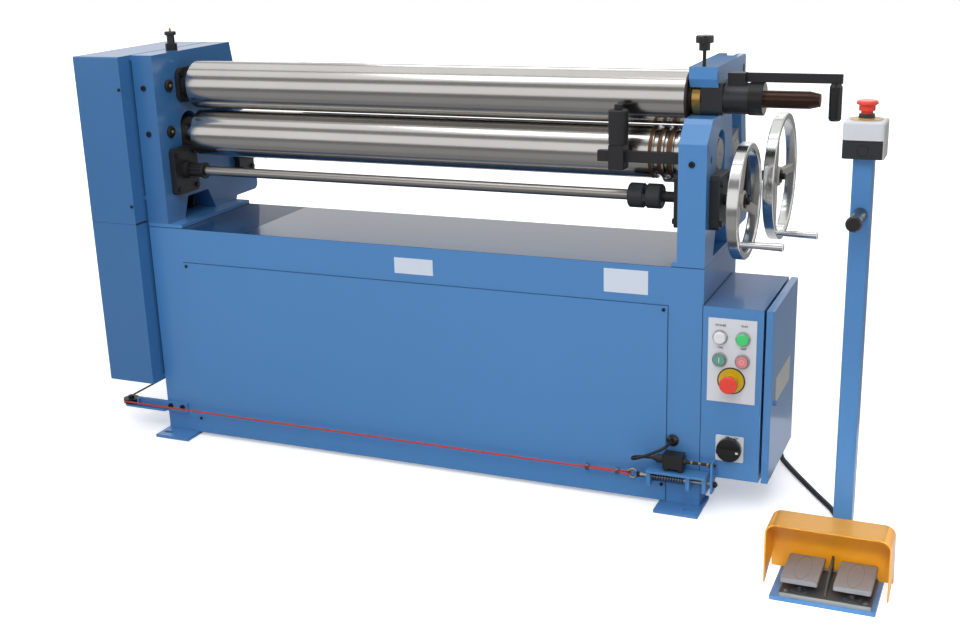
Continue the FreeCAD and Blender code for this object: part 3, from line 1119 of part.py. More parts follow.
def motor_drive():
    """Geared motor inside the cabinet, its sprocket in the cover, and the chain up to the pinion."""
    shaft_end = "sprocket_right - sprocket_thick - 4"
    inside = "left_side + bench_wall"
    reducer = new_body("reducer_body")
    pad(reducer, "side", inside, "reducer_length",
        [rectangle(("pinion_y - reducer_width / 2", "motor_shaft_z - reducer_height / 2"),
                   ("pinion_y + reducer_width / 2 - 12", "motor_shaft_z + reducer_height / 2"), "18")])
    shaft = rod("motor_shaft", (shaft_end, "pinion_y", "motor_shaft_z"), "drive_shaft_dia / 2",
                "(%s) - (%s) + 10" % (inside, shaft_end), "+X")
    wheel = chain_wheel("sprocket_drive", "drive_sprocket_dia", "drive_shaft_dia / 2", "pinion_y", "motor_shaft_z")
    shaft_bore = rod("reducer_bore", (inside + " - 1", "pinion_y", "motor_shaft_z"), "drive_shaft_dia / 2 + fit",
                     "12", "+X")
    node("geared_motor", cut("reducer", reducer, [shaft_bore]))
    node("drive_sprocket", fuse("drive_sprocket_whole", [wheel, shaft]))
    start = "(%s) + reducer_length" % inside
    motor = turned("motor", [("0", "0"), ("0", "motor_dia / 2"), ("12", "motor_dia / 2"),
                             ("12", "motor_dia / 2 - 8"), ("motor_length - 50", "motor_dia / 2 - 8"),
                             ("motor_length - 50", "motor_dia / 2 - 3", "2"), ("motor_length", "motor_dia / 2 - 3", "12"),
                             ("motor_length", "0")], (start, "pinion_y - 6", "motor_shaft_z"))
    node("geared_motor", motor)
    big, small = "sprocket_dia / 2", "drive_sprocket_dia / 2"
    rise = "(pinion_z - motor_shaft_z)"
    body = new_body("chain_body")
    lean = "((%s) - (%s)) / %s" % (big, small, rise)
    height = "sqrt(1 - (%s) * (%s))" % (lean, lean)

    def loop(grow):
        top_r, low_r = "(%s + %s)" % (big, grow), "(%s + %s)" % (small, grow)
        corners = []
        for sign, radius, base in (("", low_r, "0"), ("", top_r, rise), ("-", top_r, rise), ("-", low_r, "0")):
            corners.append(("%s(%s) * (%s)" % (sign, radius, height), "(%s) - (%s) * (%s)" % (base, radius, lean)))
        return corners
    belt = [fuse_belt(body, loop("chain_thick / 2"), big + " + chain_thick / 2", small + " + chain_thick / 2", rise)]
    inner = [fuse_belt(new_body("chain_inner_body"), loop("-chain_thick / 2 + 4"), big + " - chain_thick / 2 + 4",
                       small + " - chain_thick / 2 + 4", rise, "1")]
    node("geared_motor", cut("chain", belt[0], inner))


def fuse_belt(body, sides, top_r, low_r, rise, extra="0"):
    """Long oval slab round two sprockets."""
    width = "chain_width + 2 * (%s)" % extra
    start = "sprocket_mid - (%s) / 2" % width
    pad(body, "side", start, width, [sides])
    pad(body, "side", start, width, circles=[("0", "0", low_r)])
    pad(body, "side", start, width, circles=[("0", rise, top_r)])
    return place(body, ("0", "pinion_y", "motor_shaft_z"))


# --- gear cover ---------------------------------------------------------------------------------------
def gear_cover():
    """Folded cover over the drive at the left end, open towards the frame, with a flange on spacers."""
    body = new_body("cover_body")
    pad(body, "side", "cover_x", "cover_left - cover_side_gap",
        [rectangle(("cover_y", "cover_bottom"), ("frame_back", "left_top"), "cover_round")])
    inner = "cover_wall"
    pocket(body, "side", "cover_x + cover_wall", "cover_left - cover_side_gap - 2 * cover_wall",
           [rectangle(("cover_y + " + inner, "cover_bottom + " + inner), ("frame_back - " + inner, "left_top - " + inner))])
    lip = "(cover_wall + cover_flange)"
    pocket(body, "side", "cover_right - cover_wall - 1", "cover_wall + 2",
           [rectangle(("front_face + cover_flange", "cover_bottom + " + lip), ("frame_back - " + lip, "left_top - " + lip))])
    seam = box("cover_seam_cut", ("cover_x - 1", "cover_y - 1", "cover_seam - cover_notch"),
               ("cover_right + 1", "cover_y + cover_notch", "cover_seam + cover_notch"))
    node("gear_cover", cut("cover", body, [seam]))
    spacers = [rod("cover_spacer", ("cover_right", "front_face + 6", z), "6", "cover_side_gap", "+X")
               for z in ("left_top - 10", "cover_seam + 60", "cover_bottom + 10")]
    spacers += [rod("cover_spacer", ("cover_right", y, z), "6", "cover_side_gap", "+X")
                for y, z in (("frame_back - 9", "left_top - 60"), ("frame_back - 9", "cover_seam + 60"),
                             ("back_face - 9", "cover_bottom + 9"))]
    group("gear_cover", spacers)
    group(SCREWS, [rod("cover_screw", ("cover_right - 6", "cover_y", z), "4", "2.5", "-Y")
                   for z in ("left_top - 81", "cover_seam + 47")])


# --- control box --------------------------------------------------------------------------------------
def control_box():
    """Wall-hung electrics box on the right of the cabinet, open on its right where the door closes it."""
    low = ("right_side + control_gap", "front_face - 3.5", "control_low")
    high = ("left_side + control_right", "front_face + control_back", "control_top")
    shell = box("control_shell", low, high)
    wall = "control_wall"
    room = box("control_room", tuple("%s + %s" % (v, wall) for v in low),
               ("left_side + control_right + 1", high[1] + " - " + wall, high[2] + " - " + wall))
    holes = [rod("control_hole", (x, low[1] + " - 1", z), radius, "control_wall + 2", "+Y")
             for x, z, radius in CONTROL_HOLES]
    holes.append(rod("control_cable_hole", ("left_side + conduit_exit_x", high[1] + " - control_wall - 1",
                                            "conduit_exit_z"), "conduit_dia / 2 + 1", "control_wall + 2", "+Y"))
    lip = box("control_lip", ("left_side + control_right - control_wall", low[1] + " + control_wall",
                              "control_low + control_wall"),
              ("left_side + control_right", "front_face + control_back - control_wall",
               "control_top - control_wall"))
    mouth = box("control_mouth", ("left_side + control_right - control_wall - 1", low[1] + " + door_lip",
                                  "control_low + door_lip"),
                ("left_side + control_right + 1", "front_face + control_back - door_lip",
                 "control_top - door_lip"))
    frame = cut("control_frame", lip, [mouth])
    leaves = []
    for z in HINGE_HEIGHTS:
        leaf = box("box_leaf", ("left_side + control_right - 24", high[1], z),
                   ("left_side + control_right + 1", high[1] + " + 2.5", z + " + 18"))
        arm = box("box_arm", ("left_side + control_right - 4", high[1], z),
                  ("hinge_x", "hinge_y", z + " + 18"))
        knuckle = rod("box_knuckle", ("hinge_x", "hinge_y", z), "door_pin_dia / 2 + 3", "18")
        leaves += [leaf, arm, knuckle]
    pins = [rod("hinge_bore", ("hinge_x", "hinge_y", z + " - 1"), "door_pin_dia / 2", "20") for z in HINGE_HEIGHTS]
    whole = fuse("control_whole", [cut("control_open", shell, [room] + holes), frame] + leaves)
    node("control_box", cut("control", whole, pins))
    group(SCREWS, [rod("hinge_pin", ("hinge_x", "hinge_y", z), "door_pin_dia / 2", "37")
                              for z in HINGE_HEIGHTS])


def control_door():
    """Folded pan door of the control box, hinged at the back, with a quarter-turn lock."""
    x_in = "left_side + control_right + door_gap"
    low = (x_in, "front_face - 3.5", "control_low")
    high = (x_in + " + door_thick", "front_face + control_back", "control_top")
    body = new_body("door_body")
    pad(body, "side", x_in, "door_thick", [rectangle((low[1], low[2]), (high[1], high[2]))])
    soften(body, "Fillet", "door_round", lambda edge: edge.CenterOfMass.x > num(high[0]) - 0.01)
    pocket(body, "side", x_in + " - 1", "door_thick - door_skin + 1",
           [rectangle((low[1] + " + door_skin", low[2] + " + door_skin"),
                      (high[1] + " - door_skin", high[2] + " - door_skin"))])
    leaves = []
    for z in HINGE_HEIGHTS:
        start = z + " + 18.5"
        arm = box("door_arm", ("hinge_x", high[1] + " - 2", start), (x_in + " + 6", "hinge_y", z + " + 36.5"))
        knuckle = rod("door_knuckle", ("hinge_x", "hinge_y", start), "door_pin_dia / 2 + 3", "18")
        leaves += [arm, knuckle]
    bores = [rod("door_bore", ("hinge_x", "hinge_y", z + " + 17"), "door_pin_dia / 2 + fit", "21")
             for z in HINGE_HEIGHTS]
    lock_hole = rod("lock_hole", (high[0] + " - 5", "front_face + lock_y", "lock_z"), "lock_dia / 4 + fit", "6", "+X")
    whole = fuse("door_whole", [body] + leaves)
    node("control_door", cut("door", whole, bores + [lock_hole]))
    lock = turned("lock_round", [("-3.5 - door_skin", "0"), ("-3.5 - door_skin", "lock_dia / 4"),
                                 ("0", "lock_dia / 4"), ("0", "lock_dia / 2"),
                                 ("lock_thick", "lock_dia / 2", "1"), ("lock_thick", "0")],
                  (high[0] + " + 0.1", "front_face + lock_y", "lock_z"))
    slot = box("lock_slot", (high[0] + " + lock_thick - 1.5", "front_face + lock_y - 1.2", "lock_z - lock_dia"),
               (high[0] + " + lock_thick + 1", "front_face + lock_y + 1.2", "lock_z + lock_dia"))
    node("control_door", cut("lock", lock, [slot]))


def electrics():
    """Back plate in the control box with rail-mounted contactors and terminals."""
    x = "right_side + control_gap + control_wall"
    plate_low = (x + " + 4", "front_face + 25", "control_low + 30")
    plate_high = (x + " + 6", "front_face + control_back - 25", "control_top - 30")
    sheet_plate = box("electrics_sheet", plate_low, plate_high)
    studs = [rod("electrics_stud", (x, y, z), "4", "5", "+X")
             for y in ("front_face + 40", "front_face + control_back - 40")
             for z in ("control_low + 45", "control_top - 45")]
    rails = []
    for z in ("control_low + 130", "control_top - 110"):
        rails.append(box("rail", (x + " + 6", "front_face + 40", z), (x + " + 13", "front_face + control_back - 40",
                                                                     z + " + 35")))
    node("control_devices", fuse("electrics_whole", [sheet_plate] + studs + rails))
    blocks = []
    for z, sizes in (("control_top - 110", (45, 45, 30, 20)), ("control_low + 130", (18, 18, 18, 18, 18))):
        start = 50
        for size in sizes:
            blocks.append(box("device", (x + " + 13", "front_face + %d" % start, z + " - 18"),
                              (x + " + 50 + %d" % (size // 3), "front_face + %d" % (start + size), z + " + 52")))
            start += size + 2
    group("control_devices", blocks)


def front_button(name, x):
    """Round press button: sprung cap whose stem runs through the front of the box."""
    node(name, turned(name + "_cap", [("-stem_depth", "0"), ("-stem_depth", "button_cap_dia / 2"),
                                      ("button_cap", "button_cap_dia / 2", "1"), ("button_cap", "0")],
                      (x, "panel_y", "button_z"), "-Y"))


def control_panel():
    """White panel plate on the front with two lamps, two press buttons and the mushroom stop button."""
    panel = plate("control_panel_plate", "front", "box_face", "plate_thick",
                  rectangle(("left_side + plate_left", "plate_low"), ("left_side + plate_right", "plate_top")),
                  CONTROL_HOLES[:5])
    node("control_plates", panel)
    for name, x in (("power", "lamp_left"), ("run", "lamp_right")):
        node("indicator_lamps", turned(name + "_lens", [("-stem_depth", "0"), ("-stem_depth", "stem_dia / 2 - 1"),
                                           ("0", "stem_dia / 2 - 1"), ("0", "lamp_dia / 2"),
                                           ("3", "lamp_dia / 2"), ("5", "lamp_dia / 2 - 3"),
                                           ("lamp_depth", "lamp_dia / 2 - 3", "3"), ("lamp_depth", "0")],
                          ("left_side + " + x, "panel_y", "lamp_z"), "-Y"))
    bezels = [turned("bezel", [("0", "button_cap_dia / 2 + slide_gap"), ("0", "button_ring_dia / 2"),
                               ("button_ring", "button_ring_dia / 2", "2"),
                               ("button_ring", "button_cap_dia / 2 + slide_gap")],
                     ("left_side + " + x, "panel_y", "button_z"), "-Y") for x in ("lamp_left", "lamp_right")]
    group("control_plates", bezels)
    front_button("start_button", "left_side + lamp_left")
    front_button("stop_button", "left_side + lamp_right")
    disc = turned("disc", [("0", "stem_dia / 2 + slide_gap"), ("0", "stop_disc_dia / 2"),
                           ("stop_disc", "stop_disc_dia / 2"), ("stop_disc", "stem_dia / 2 + slide_gap + 5"),
                           ("mushroom_stand - mushroom_travel - 1", "stem_dia / 2 + slide_gap + 4"),
                           ("mushroom_stand - mushroom_travel - 1", "stem_dia / 2 + slide_gap")],
                  ("left_side + stop_x", "panel_y", "stop_z"), "-Y")
    node("control_plates", disc)
    mushroom("panel_stop_button", ("left_side + stop_x", "panel_y", "stop_z"), "-Y", "stem_depth")


def mushroom(name, at, way, depth):
    """Red mushroom head of an emergency stop with its stem."""
    node(name, turned(name + "_head", [
        ("-" + depth, "0"), ("-" + depth, "stem_dia / 2"), ("mushroom_stand", "stem_dia / 2"),
        ("mushroom_stand", "mushroom_neck_dia / 2"), ("mushroom_stand + mushroom * 0.5", "mushroom_neck_dia / 2"),
        ("mushroom_stand + mushroom * 0.65", "mushroom_dia / 2", "1"),
        ("mushroom_stand + mushroom", "mushroom_dia / 2", "4"), ("mushroom_stand + mushroom", "0")], at, way))


def isolator():
    """Main switch: square plate with a round black dial, and the ridged knob that turns a quarter."""
    plate_body = plate("isolator_plate", "front", "box_face", "3",
                       rectangle(("left_side + isolator_left", "isolator_low"),
                                 ("left_side + isolator_right", "isolator_top"), "3"),
                       [("isolator_x", "isolator_z", "6 + slide_gap")])
    node("control_plates", plate_body)
    knob = new_body("isolator_knob_body")
    pad(knob, "front", "0", "isolator_knob", circles=[("0", "0", "isolator_knob_dia / 2")])
    soften(knob, "Fillet", "2", lambda edge: edge.CenterOfMass.y < -num("isolator_knob") + 0.01)
    pad(knob, "front", "0", "isolator_knob + isolator_ridge * 0.6",
        [rectangle(("-isolator_knob_dia * 0.46", "-6"), ("isolator_knob_dia * 0.46", "6"), "3")])
    pad(knob, "front", "14", "14", circles=[("0", "0", "6")])
    node("isolator_knob", knob, ("isolator_x", "box_face - 3 - seat_gap", "isolator_z"))


# --- trip rope ----------------------------------------------------------------------------------------
def rope_tackle():
    """Rope, pulley and the sprung switch gear that stops the machine when the rope is touched."""
    x0 = "left_side + "
    tab = box("tab_flat", (x0 + "pulley_x", "front_face - tab_deep", "tab_low"),
              ("left_side + 1", "front_face", "tab_low + tab_thick"))
    end = rod("tab_end", (x0 + "pulley_x", "pulley_y", "tab_low"), "tab_deep - 3", "tab_thick")
    upright = box("tab_upright", (x0 + "pulley_x + pulley_dia / 2 + 8", "front_face - tab_thick", "tab_low - 3"),
                  (x0 + "tab_right", "front_face", "tab_high"))
    rib = box("tab_rib", (x0 + "pulley_x + pulley_dia / 2 + 8", "front_face - tab_deep + 6", "tab_low"),
              (x0 + "pulley_x + pulley_dia / 2 + 13", "front_face", "tab_high - 2"))
    pin = rod("tab_pin", (x0 + "pulley_x", "pulley_y", "tab_low"), "pulley_bore / 2", "rope_z - tab_low + 14")
    head = rod("tab_head", (x0 + "pulley_x", "pulley_y", "rope_z + pulley_thick / 2 + 1"), "8", "6")
    washer = rod("tab_washer", (x0 + "pulley_x", "pulley_y", "tab_low + tab_thick"), "8",
                 "rope_z - pulley_thick / 2 - tab_low - tab_thick - seat_gap")
    node("rope_brackets", fuse("tab_whole", [tab, end, upright, rib, pin, head, washer]))
    bolts = [rod("tab_bolt", (x0 + x, "front_face - tab_thick", "rope_z"), "6.5", "5", "-Y")
             for x in ("14", "tab_right - 14")]
    group(SCREWS, bolts)
    room = "(rope_dia / 2 + seat_gap + 0.1)"
    bore, rim, half = "pulley_bore / 2 + fit", "pulley_dia / 2 + 2", "pulley_thick / 2"
    node("rope_pulley", turned("rope_pulley", [
        ("-" + half, bore), ("-" + half, rim), ("-%s - 1.3" % room, rim), ("-" + room, "pulley_dia / 2"),
        ("-" + room, "pulley_dia / 2 - 1.3"), ("-1.3", "pulley_dia / 2 - " + room),
        ("1.3", "pulley_dia / 2 - " + room), (room, "pulley_dia / 2 - 1.3"), (room, "pulley_dia / 2"),
        (room + " + 1.3", rim), (half, rim), (half, bore)], (x0 + "pulley_x", "pulley_y", "rope_z"), "+Z"))
    back_y = "front_face + rope_back_y"
    anchor = box("anchor_flat", ("rope_side_x - 12", back_y + " - 12", "tab_low"),
                 ("left_side", back_y + " + 18", "tab_low + tab_thick"))
    anchor_up = box("anchor_up", ("left_side - tab_thick", back_y + " - 12", "tab_low"),
                    ("left_side", back_y + " + 18", "tab_high"))
    post = rod("anchor_post", ("rope_side_x", back_y, "tab_low"), "4", "rope_z - tab_low + 8")
    cap = rod("anchor_cap", ("rope_side_x", back_y, "rope_z + 6"), "8", "4")
    node("rope_brackets", fuse("anchor_whole", [anchor, anchor_up, post, cap]))
    trip_rope(back_y)
    tension_gear()


def trip_rope(back_y):
    """Taut covered wire rope: from the eye bolt along the front, round the pulley, back to the anchor."""
    y, z = num("rope_line_y"), num("rope_z")
    radius = num("pulley_dia / 2")
    centre = Vector(num("left_side + pulley_x"), num("pulley_y"), z)
    loop_r = 8
    loop_x = num("left_side + eye_x - eye_ring_dia / 2 + eye_wire + rope_dia / 2 + seat_gap") - loop_r
    anchor_r = 4 + num("rope_dia / 2 + seat_gap")
    start = Vector(loop_x - loop_r, y, z)
    front = Vector(centre.x, y, z)
    side = Vector(centre.x - radius, centre.y, z)
    end = Vector(side.x, num(back_y) - anchor_r, z)
    corner = centre + Vector(-math.sqrt(0.5), -math.sqrt(0.5), 0) * radius
    path = Part.Wire([Part.LineSegment(start, front).toShape(), Part.Arc(front, corner, side).toShape(),
                      Part.LineSegment(side, end).toShape()])
    section = Part.Wire(Part.Circle(start, Vector(-1, 0, 0), num("rope_dia / 2")).toShape())
    tube = path.makePipeShell([section], True, False)
    loop = Part.makeTorus(loop_r, num("rope_dia / 2"), Vector(loop_x, y, z), Vector(0, 0, 1))
    tail = Part.makeTorus(anchor_r, num("rope_dia / 2"), Vector(side.x, num(back_y), z), Vector(0, 0, 1))
    piece = doc.addObject("Part::Feature", "trip_rope_shape")
    piece.Shape = tube.multiFuse([loop, tail])
    print("trip rope: %.0f mm between its loops" % path.Length)
    node("trip_rope", piece)
    sleeve = [("-8", "rope_dia / 2"), ("-8", "rope_dia / 2 + 3"), ("-3", "rope_dia / 2 + 3"),
              ("-2", "rope_dia / 2 + 2"), ("2", "rope_dia / 2 + 2"), ("3", "rope_dia / 2 + 3"),
              ("8", "rope_dia / 2 + 3"), ("8", "rope_dia / 2")]
    clips = [turned("rope_clip_" + x, sleeve, ("left_side + " + x, "rope_line_y", "rope_z"))
             for x in ("clip_x", "end_clip_x")]
    tail = rod("rope_return", ("left_side + end_clip_x - 14", "rope_line_y + rope_dia + 0.4", "rope_z"),
               "rope_dia / 2 - 0.4", "clip_x - end_clip_x + 20", "+X")
    node("trip_rope", fuse("rope_doubled_end", clips + [tail]))
    node("trip_rope", turned("rope_clip_rear", sleeve, ("rope_side_x", back_y + " - 45", "rope_z"), "+Y"))


def tension_gear():
    """Bracket, eye bolt, spring and switch at the rope's right end."""
    x0 = "left_side + "
    y_low, y_high = "front_face - bracket_deep", "front_face - panel_thick"
    y_box = "box_face - seat_gap"
    top = box("tension_top", (x0 + "ear_a", y_low, "bracket_top - bracket_thick"),
              ("right_side", y_high, "bracket_top"))
    reach = box("tension_reach", ("right_side - 1", y_low, "bracket_top - bracket_thick"),
                (x0 + "ear_c + ear_thick", y_box, "bracket_top"))
    back = box("tension_back", (x0 + "ear_a", y_high + " - bracket_thick", "bracket_top - bracket_thick - 30"),
               ("right_side", y_high, "bracket_top"))
    ears = [box("tension_ear", (x0 + ear, y_low + " + 4", "bracket_top - bracket_thick - ear_drop - 12"),
                (x0 + ear + " + ear_thick", y_box if ear == "ear_c" else y_high, "bracket_top"))
            for ear in ("ear_a", "ear_b", "ear_c")]
    hole = rod("tension_hole", (x0 + "ear_a - 5", "rope_line_y", "rope_z"), "eye_rod_dia / 2 + fit", "170", "+X")
    node("tension_bracket", cut("tension", fuse("tension_whole", [top, reach, back] + ears), [hole]))
    eye = ring("eye_ring", (x0 + "eye_x", "rope_line_y", "rope_z"), "eye_ring_dia / 2 - eye_wire / 2",
               "eye_wire / 2", "+Y")
    stem = rod("eye_stem", (x0 + "eye_x + eye_ring_dia / 2 + 4", "rope_line_y", "rope_z"), "eye_rod_dia / 2",
               "yoke_x - eye_x + 10 - eye_ring_dia / 2", "+X")
    neck = turned("eye_neck", [("0", "0"), ("0", "1.5"), ("4", "6.5"), ("15", "5.5"), ("15", "0")],
                  (x0 + "eye_x + eye_ring_dia / 2 - eye_wire / 2", "rope_line_y", "rope_z"))
    collar = rod("eye_collar", (x0 + "ear_b - 6", "rope_line_y", "rope_z"), "8.5", "5", "+X")
    yoke = box("yoke_plate", (x0 + "yoke_x", y_low + " + 6", "rope_z - 18"),
               (x0 + "yoke_x + yoke_thick", "front_face - 8", "bracket_end_top"))
    nut = rod("yoke_nut", (x0 + "yoke_x + yoke_thick", "rope_line_y", "rope_z"), "7", "6", "+X")
    bolt = rod("yoke_bolt", (x0 + "switch_right + plunger", "rope_line_y", "switch_z"), "3.5",
               "yoke_x - switch_right - plunger + 10", "+X")
    plunger = rod("plunger_rod", (x0 + "switch_right - 8", "rope_line_y", "switch_z"), "plunger_dia / 2",
                  "plunger + 9", "+X")
    lock_nut = rod("yoke_lock_nut", (x0 + "yoke_x - 5", "rope_line_y", "switch_z"), "6.5", "5", "+X")
    node("rope_eye_bolt", fuse("eye_whole", [eye, stem, neck, collar, yoke, nut, bolt, lock_nut, plunger]))
    spring = doc.addObject("Part::Feature", "tension_spring_shape")
    low_x, high_x = num(x0 + "ear_a + ear_thick"), num(x0 + "ear_b - 6")
    wire = num("spring_wire")
    length = high_x - low_x - wire
    mean = num("spring_dia / 2") - wire / 2
    helix = Part.makeHelix(length / num("spring_turns"), length, mean)
    section = Part.Wire(Part.Circle(Vector(mean, 0, 0), Vector(0, 1, 0), wire / 2).toShape())
    coil = Part.Wire(helix.Edges).makePipeShell([section], True, True)
    spring.Shape = coil
    spring.Placement = FreeCAD.Placement(Vector(low_x + wire / 2, num("rope_line_y"), num("rope_z")), FROM_Z["+X"])
    node("tension_spring", spring)
    body = new_body("switch_body")
    pad(body, "top", "switch_low", "switch_height",
        [rectangle((x0 + "switch_left", "front_face - switch_deep - 6"), (x0 + "switch_right", "front_face - 6"))])
    soften(body, "Fillet", "3", runs_along("z"))
    feet = [box("switch_foot", (x0 + x, "front_face - switch_deep - 2", "bracket_top"),
                (x0 + x + " + 10", "front_face - 10", "switch_low + 1")) for x in ("switch_left + 2", "switch_right - 12")]
    gland = turned("switch_gland", [("0", "cable_dia / 2"), ("0", "switch_gland_dia / 2 - 4"),
                                    ("8", "switch_gland_dia / 2 - 2"), ("8", "switch_gland_dia / 2"),
                                    ("switch_gland", "switch_gland_dia / 2"), ("switch_gland", "cable_dia / 2")],
                   (x0 + "switch_left - switch_gland", "rope_line_y", "switch_z"))
    lip = turned("switch_nose", [("0", "plunger_dia / 2 + fit"), ("0", "plunger_dia / 2 + 4"),
                                 ("6", "plunger_dia / 2 + 3"), ("6", "plunger_dia / 2 + fit")],
                 (x0 + "switch_right", "rope_line_y", "switch_z"))
    plunger_bore = rod("plunger_bore", (x0 + "switch_right - 16", "rope_line_y", "switch_z"),
                       "plunger_dia / 2 + fit", "30", "+X")
    node("limit_switch", cut("switch", fuse("switch_whole", [body, gland, lip] + feet), [plunger_bore]))
    grommet = turned("grommet", [("-bench_wall", "cable_dia / 2"), ("-bench_wall", "cable_dia / 2 + 2 - seat_gap"),
                                 ("0", "cable_dia / 2 + 2 - seat_gap"), ("0", "grommet_dia / 2"),
                                 ("4", "grommet_dia / 2", "1"), ("grommet_thick", "grommet_dia / 4"),
                                 ("grommet_thick", "cable_dia / 2")],
                     (x0 + "grommet_x", "front_face", "grommet_z"), "-Y")
    node("cable_glands", grommet)


# --- foot control -------------------------------------------------------------------------------------
def foot_station():
    """Free-standing pedal unit: steel pad, post with a stop station and grip, hooded cast pedals."""
    x0 = "left_side + "
    y0 = "front_face + "
    base = plate("pedal_pad", "top", "0", "pad_thick",
                 rectangle((x0 + "pad_left", y0 + "pad_front"), (x0 + "pad_right", y0 + "pad_back"), "2"))
    node("foot_stand", base)
    half = "stand_size / 2"
    low = (x0 + "stand_x - " + half, y0 + "stand_y - " + half)
    high = (x0 + "stand_x + " + half, y0 + "stand_y + " + half)
    inner = "stand_wall"
    post = new_body("stand_body")
    pad(post, "top", "pad_thick", "stand_top - pad_thick",
        [rectangle(low, high, "stand_round"),
         rectangle((low[0] + " + " + inner, low[1] + " + " + inner),
                   (high[0] + " - " + inner, high[1] + " - " + inner), "stand_round - stand_wall")])
    entry = rod("stand_entry", (x0 + "stand_x", high[1] + " - 10", "conduit_entry_z"), "conduit_dia / 2 + 1", "20", "+Y")
    pipe_hole = rod("stand_grip_hole", (x0 + "stand_x", low[1] + " - 2", "post_grip_z"), "5", "stand_wall + 4", "+Y")
    node("foot_stand", cut("stand", post, [entry, pipe_hole]))
    grip = turned("post_grip_round", [("-stand_wall", "0"), ("-stand_wall", "5"), ("0", "5"),
                                      ("0", "post_grip_dia / 2"), ("post_grip * 0.5", "post_grip_dia / 2 - 2"),
                                      ("post_grip - 4", "post_grip_end_dia / 2"),
                                      ("post_grip", "post_grip_end_dia / 2 - 3"), ("post_grip", "0")],
                  (x0 + "stand_x", low[1], "post_grip_z"), "-Y")
    node("foot_stand", grip)
    stop_station()
    pedals()


def stop_station():
    """Emergency stop box on top of the post: dark lower half, pale lid, yellow disc, mushroom button."""
    x0 = "left_side + stand_x"
    y0 = "front_face + stand_y"
    low = ("%s - station_width / 2" % x0, "%s - station_deep / 2" % y0)
    high = ("%s + station_width / 2" % x0, "%s + station_deep / 2" % y0)
    wall = 3
    lower = new_body("station_lower_body")
    pad(lower, "top", "stand_top", "station_split", [rectangle(low, high, "station_round")])
    pocket(lower, "top", "stand_top + %d" % wall, "station_split",
           [rectangle(tuple("%s + %d" % (v, wall) for v in low), tuple("%s - %d" % (v, wall) for v in high), "4")])
    knockout = rod("knockout", (x0, low[1] + " - 1", "stand_top + station_split / 2"), "knockout_dia / 2", "1.6", "+Y")
    knockin = rod("knockin", (x0, low[1] + " - 1", "stand_top + station_split / 2"), "knockout_dia / 2 - 1", "1.6", "+Y")
    node("station_box", cut("stop_box_lower", lower, [cut("knockout_ring", knockout, [knockin])]))
    lid = new_body("station_lid_body")
    lid_height = "station_height - station_split - 0.2"
    pad(lid, "top", "stand_top + station_split + 0.2", lid_height, [rectangle(low, high, "station_round")])
    soften(lid, "Fillet", "5", lambda edge: edge.CenterOfMass.z > num("stand_top + station_height") - 0.01)
    pocket(lid, "top", "stand_top + station_split - 1", "station_height - station_split - %d" % (wall - 1),
           [rectangle(tuple("%s + %d" % (v, wall) for v in low), tuple("%s - %d" % (v, wall) for v in high), "4")])
    hole = rod("lid_hole", (x0, y0, "stand_top + station_height - 10"), "stem_dia / 2 + slide_gap", "20")
    node("station_box", cut("stop_box_lid_cut", lid, [hole]))
    node("station_box", turned("stop_ring", [
        ("0", "stem_dia / 2 + slide_gap"), ("0", "yellow_disc_dia / 2"), ("yellow_disc", "yellow_disc_dia / 2"),
        ("yellow_disc", "stem_dia / 2 + slide_gap + 4"),
        ("mushroom_stand - mushroom_travel - 1", "stem_dia / 2 + slide_gap + 3"),
        ("mushroom_stand - mushroom_travel - 1", "stem_dia / 2 + slide_gap")],
        (x0, y0, "stand_top + station_height"), "+Z"))
    mushroom("post_stop_button", (x0, y0, "stand_top + station_height"), "+Z", "stem_depth")


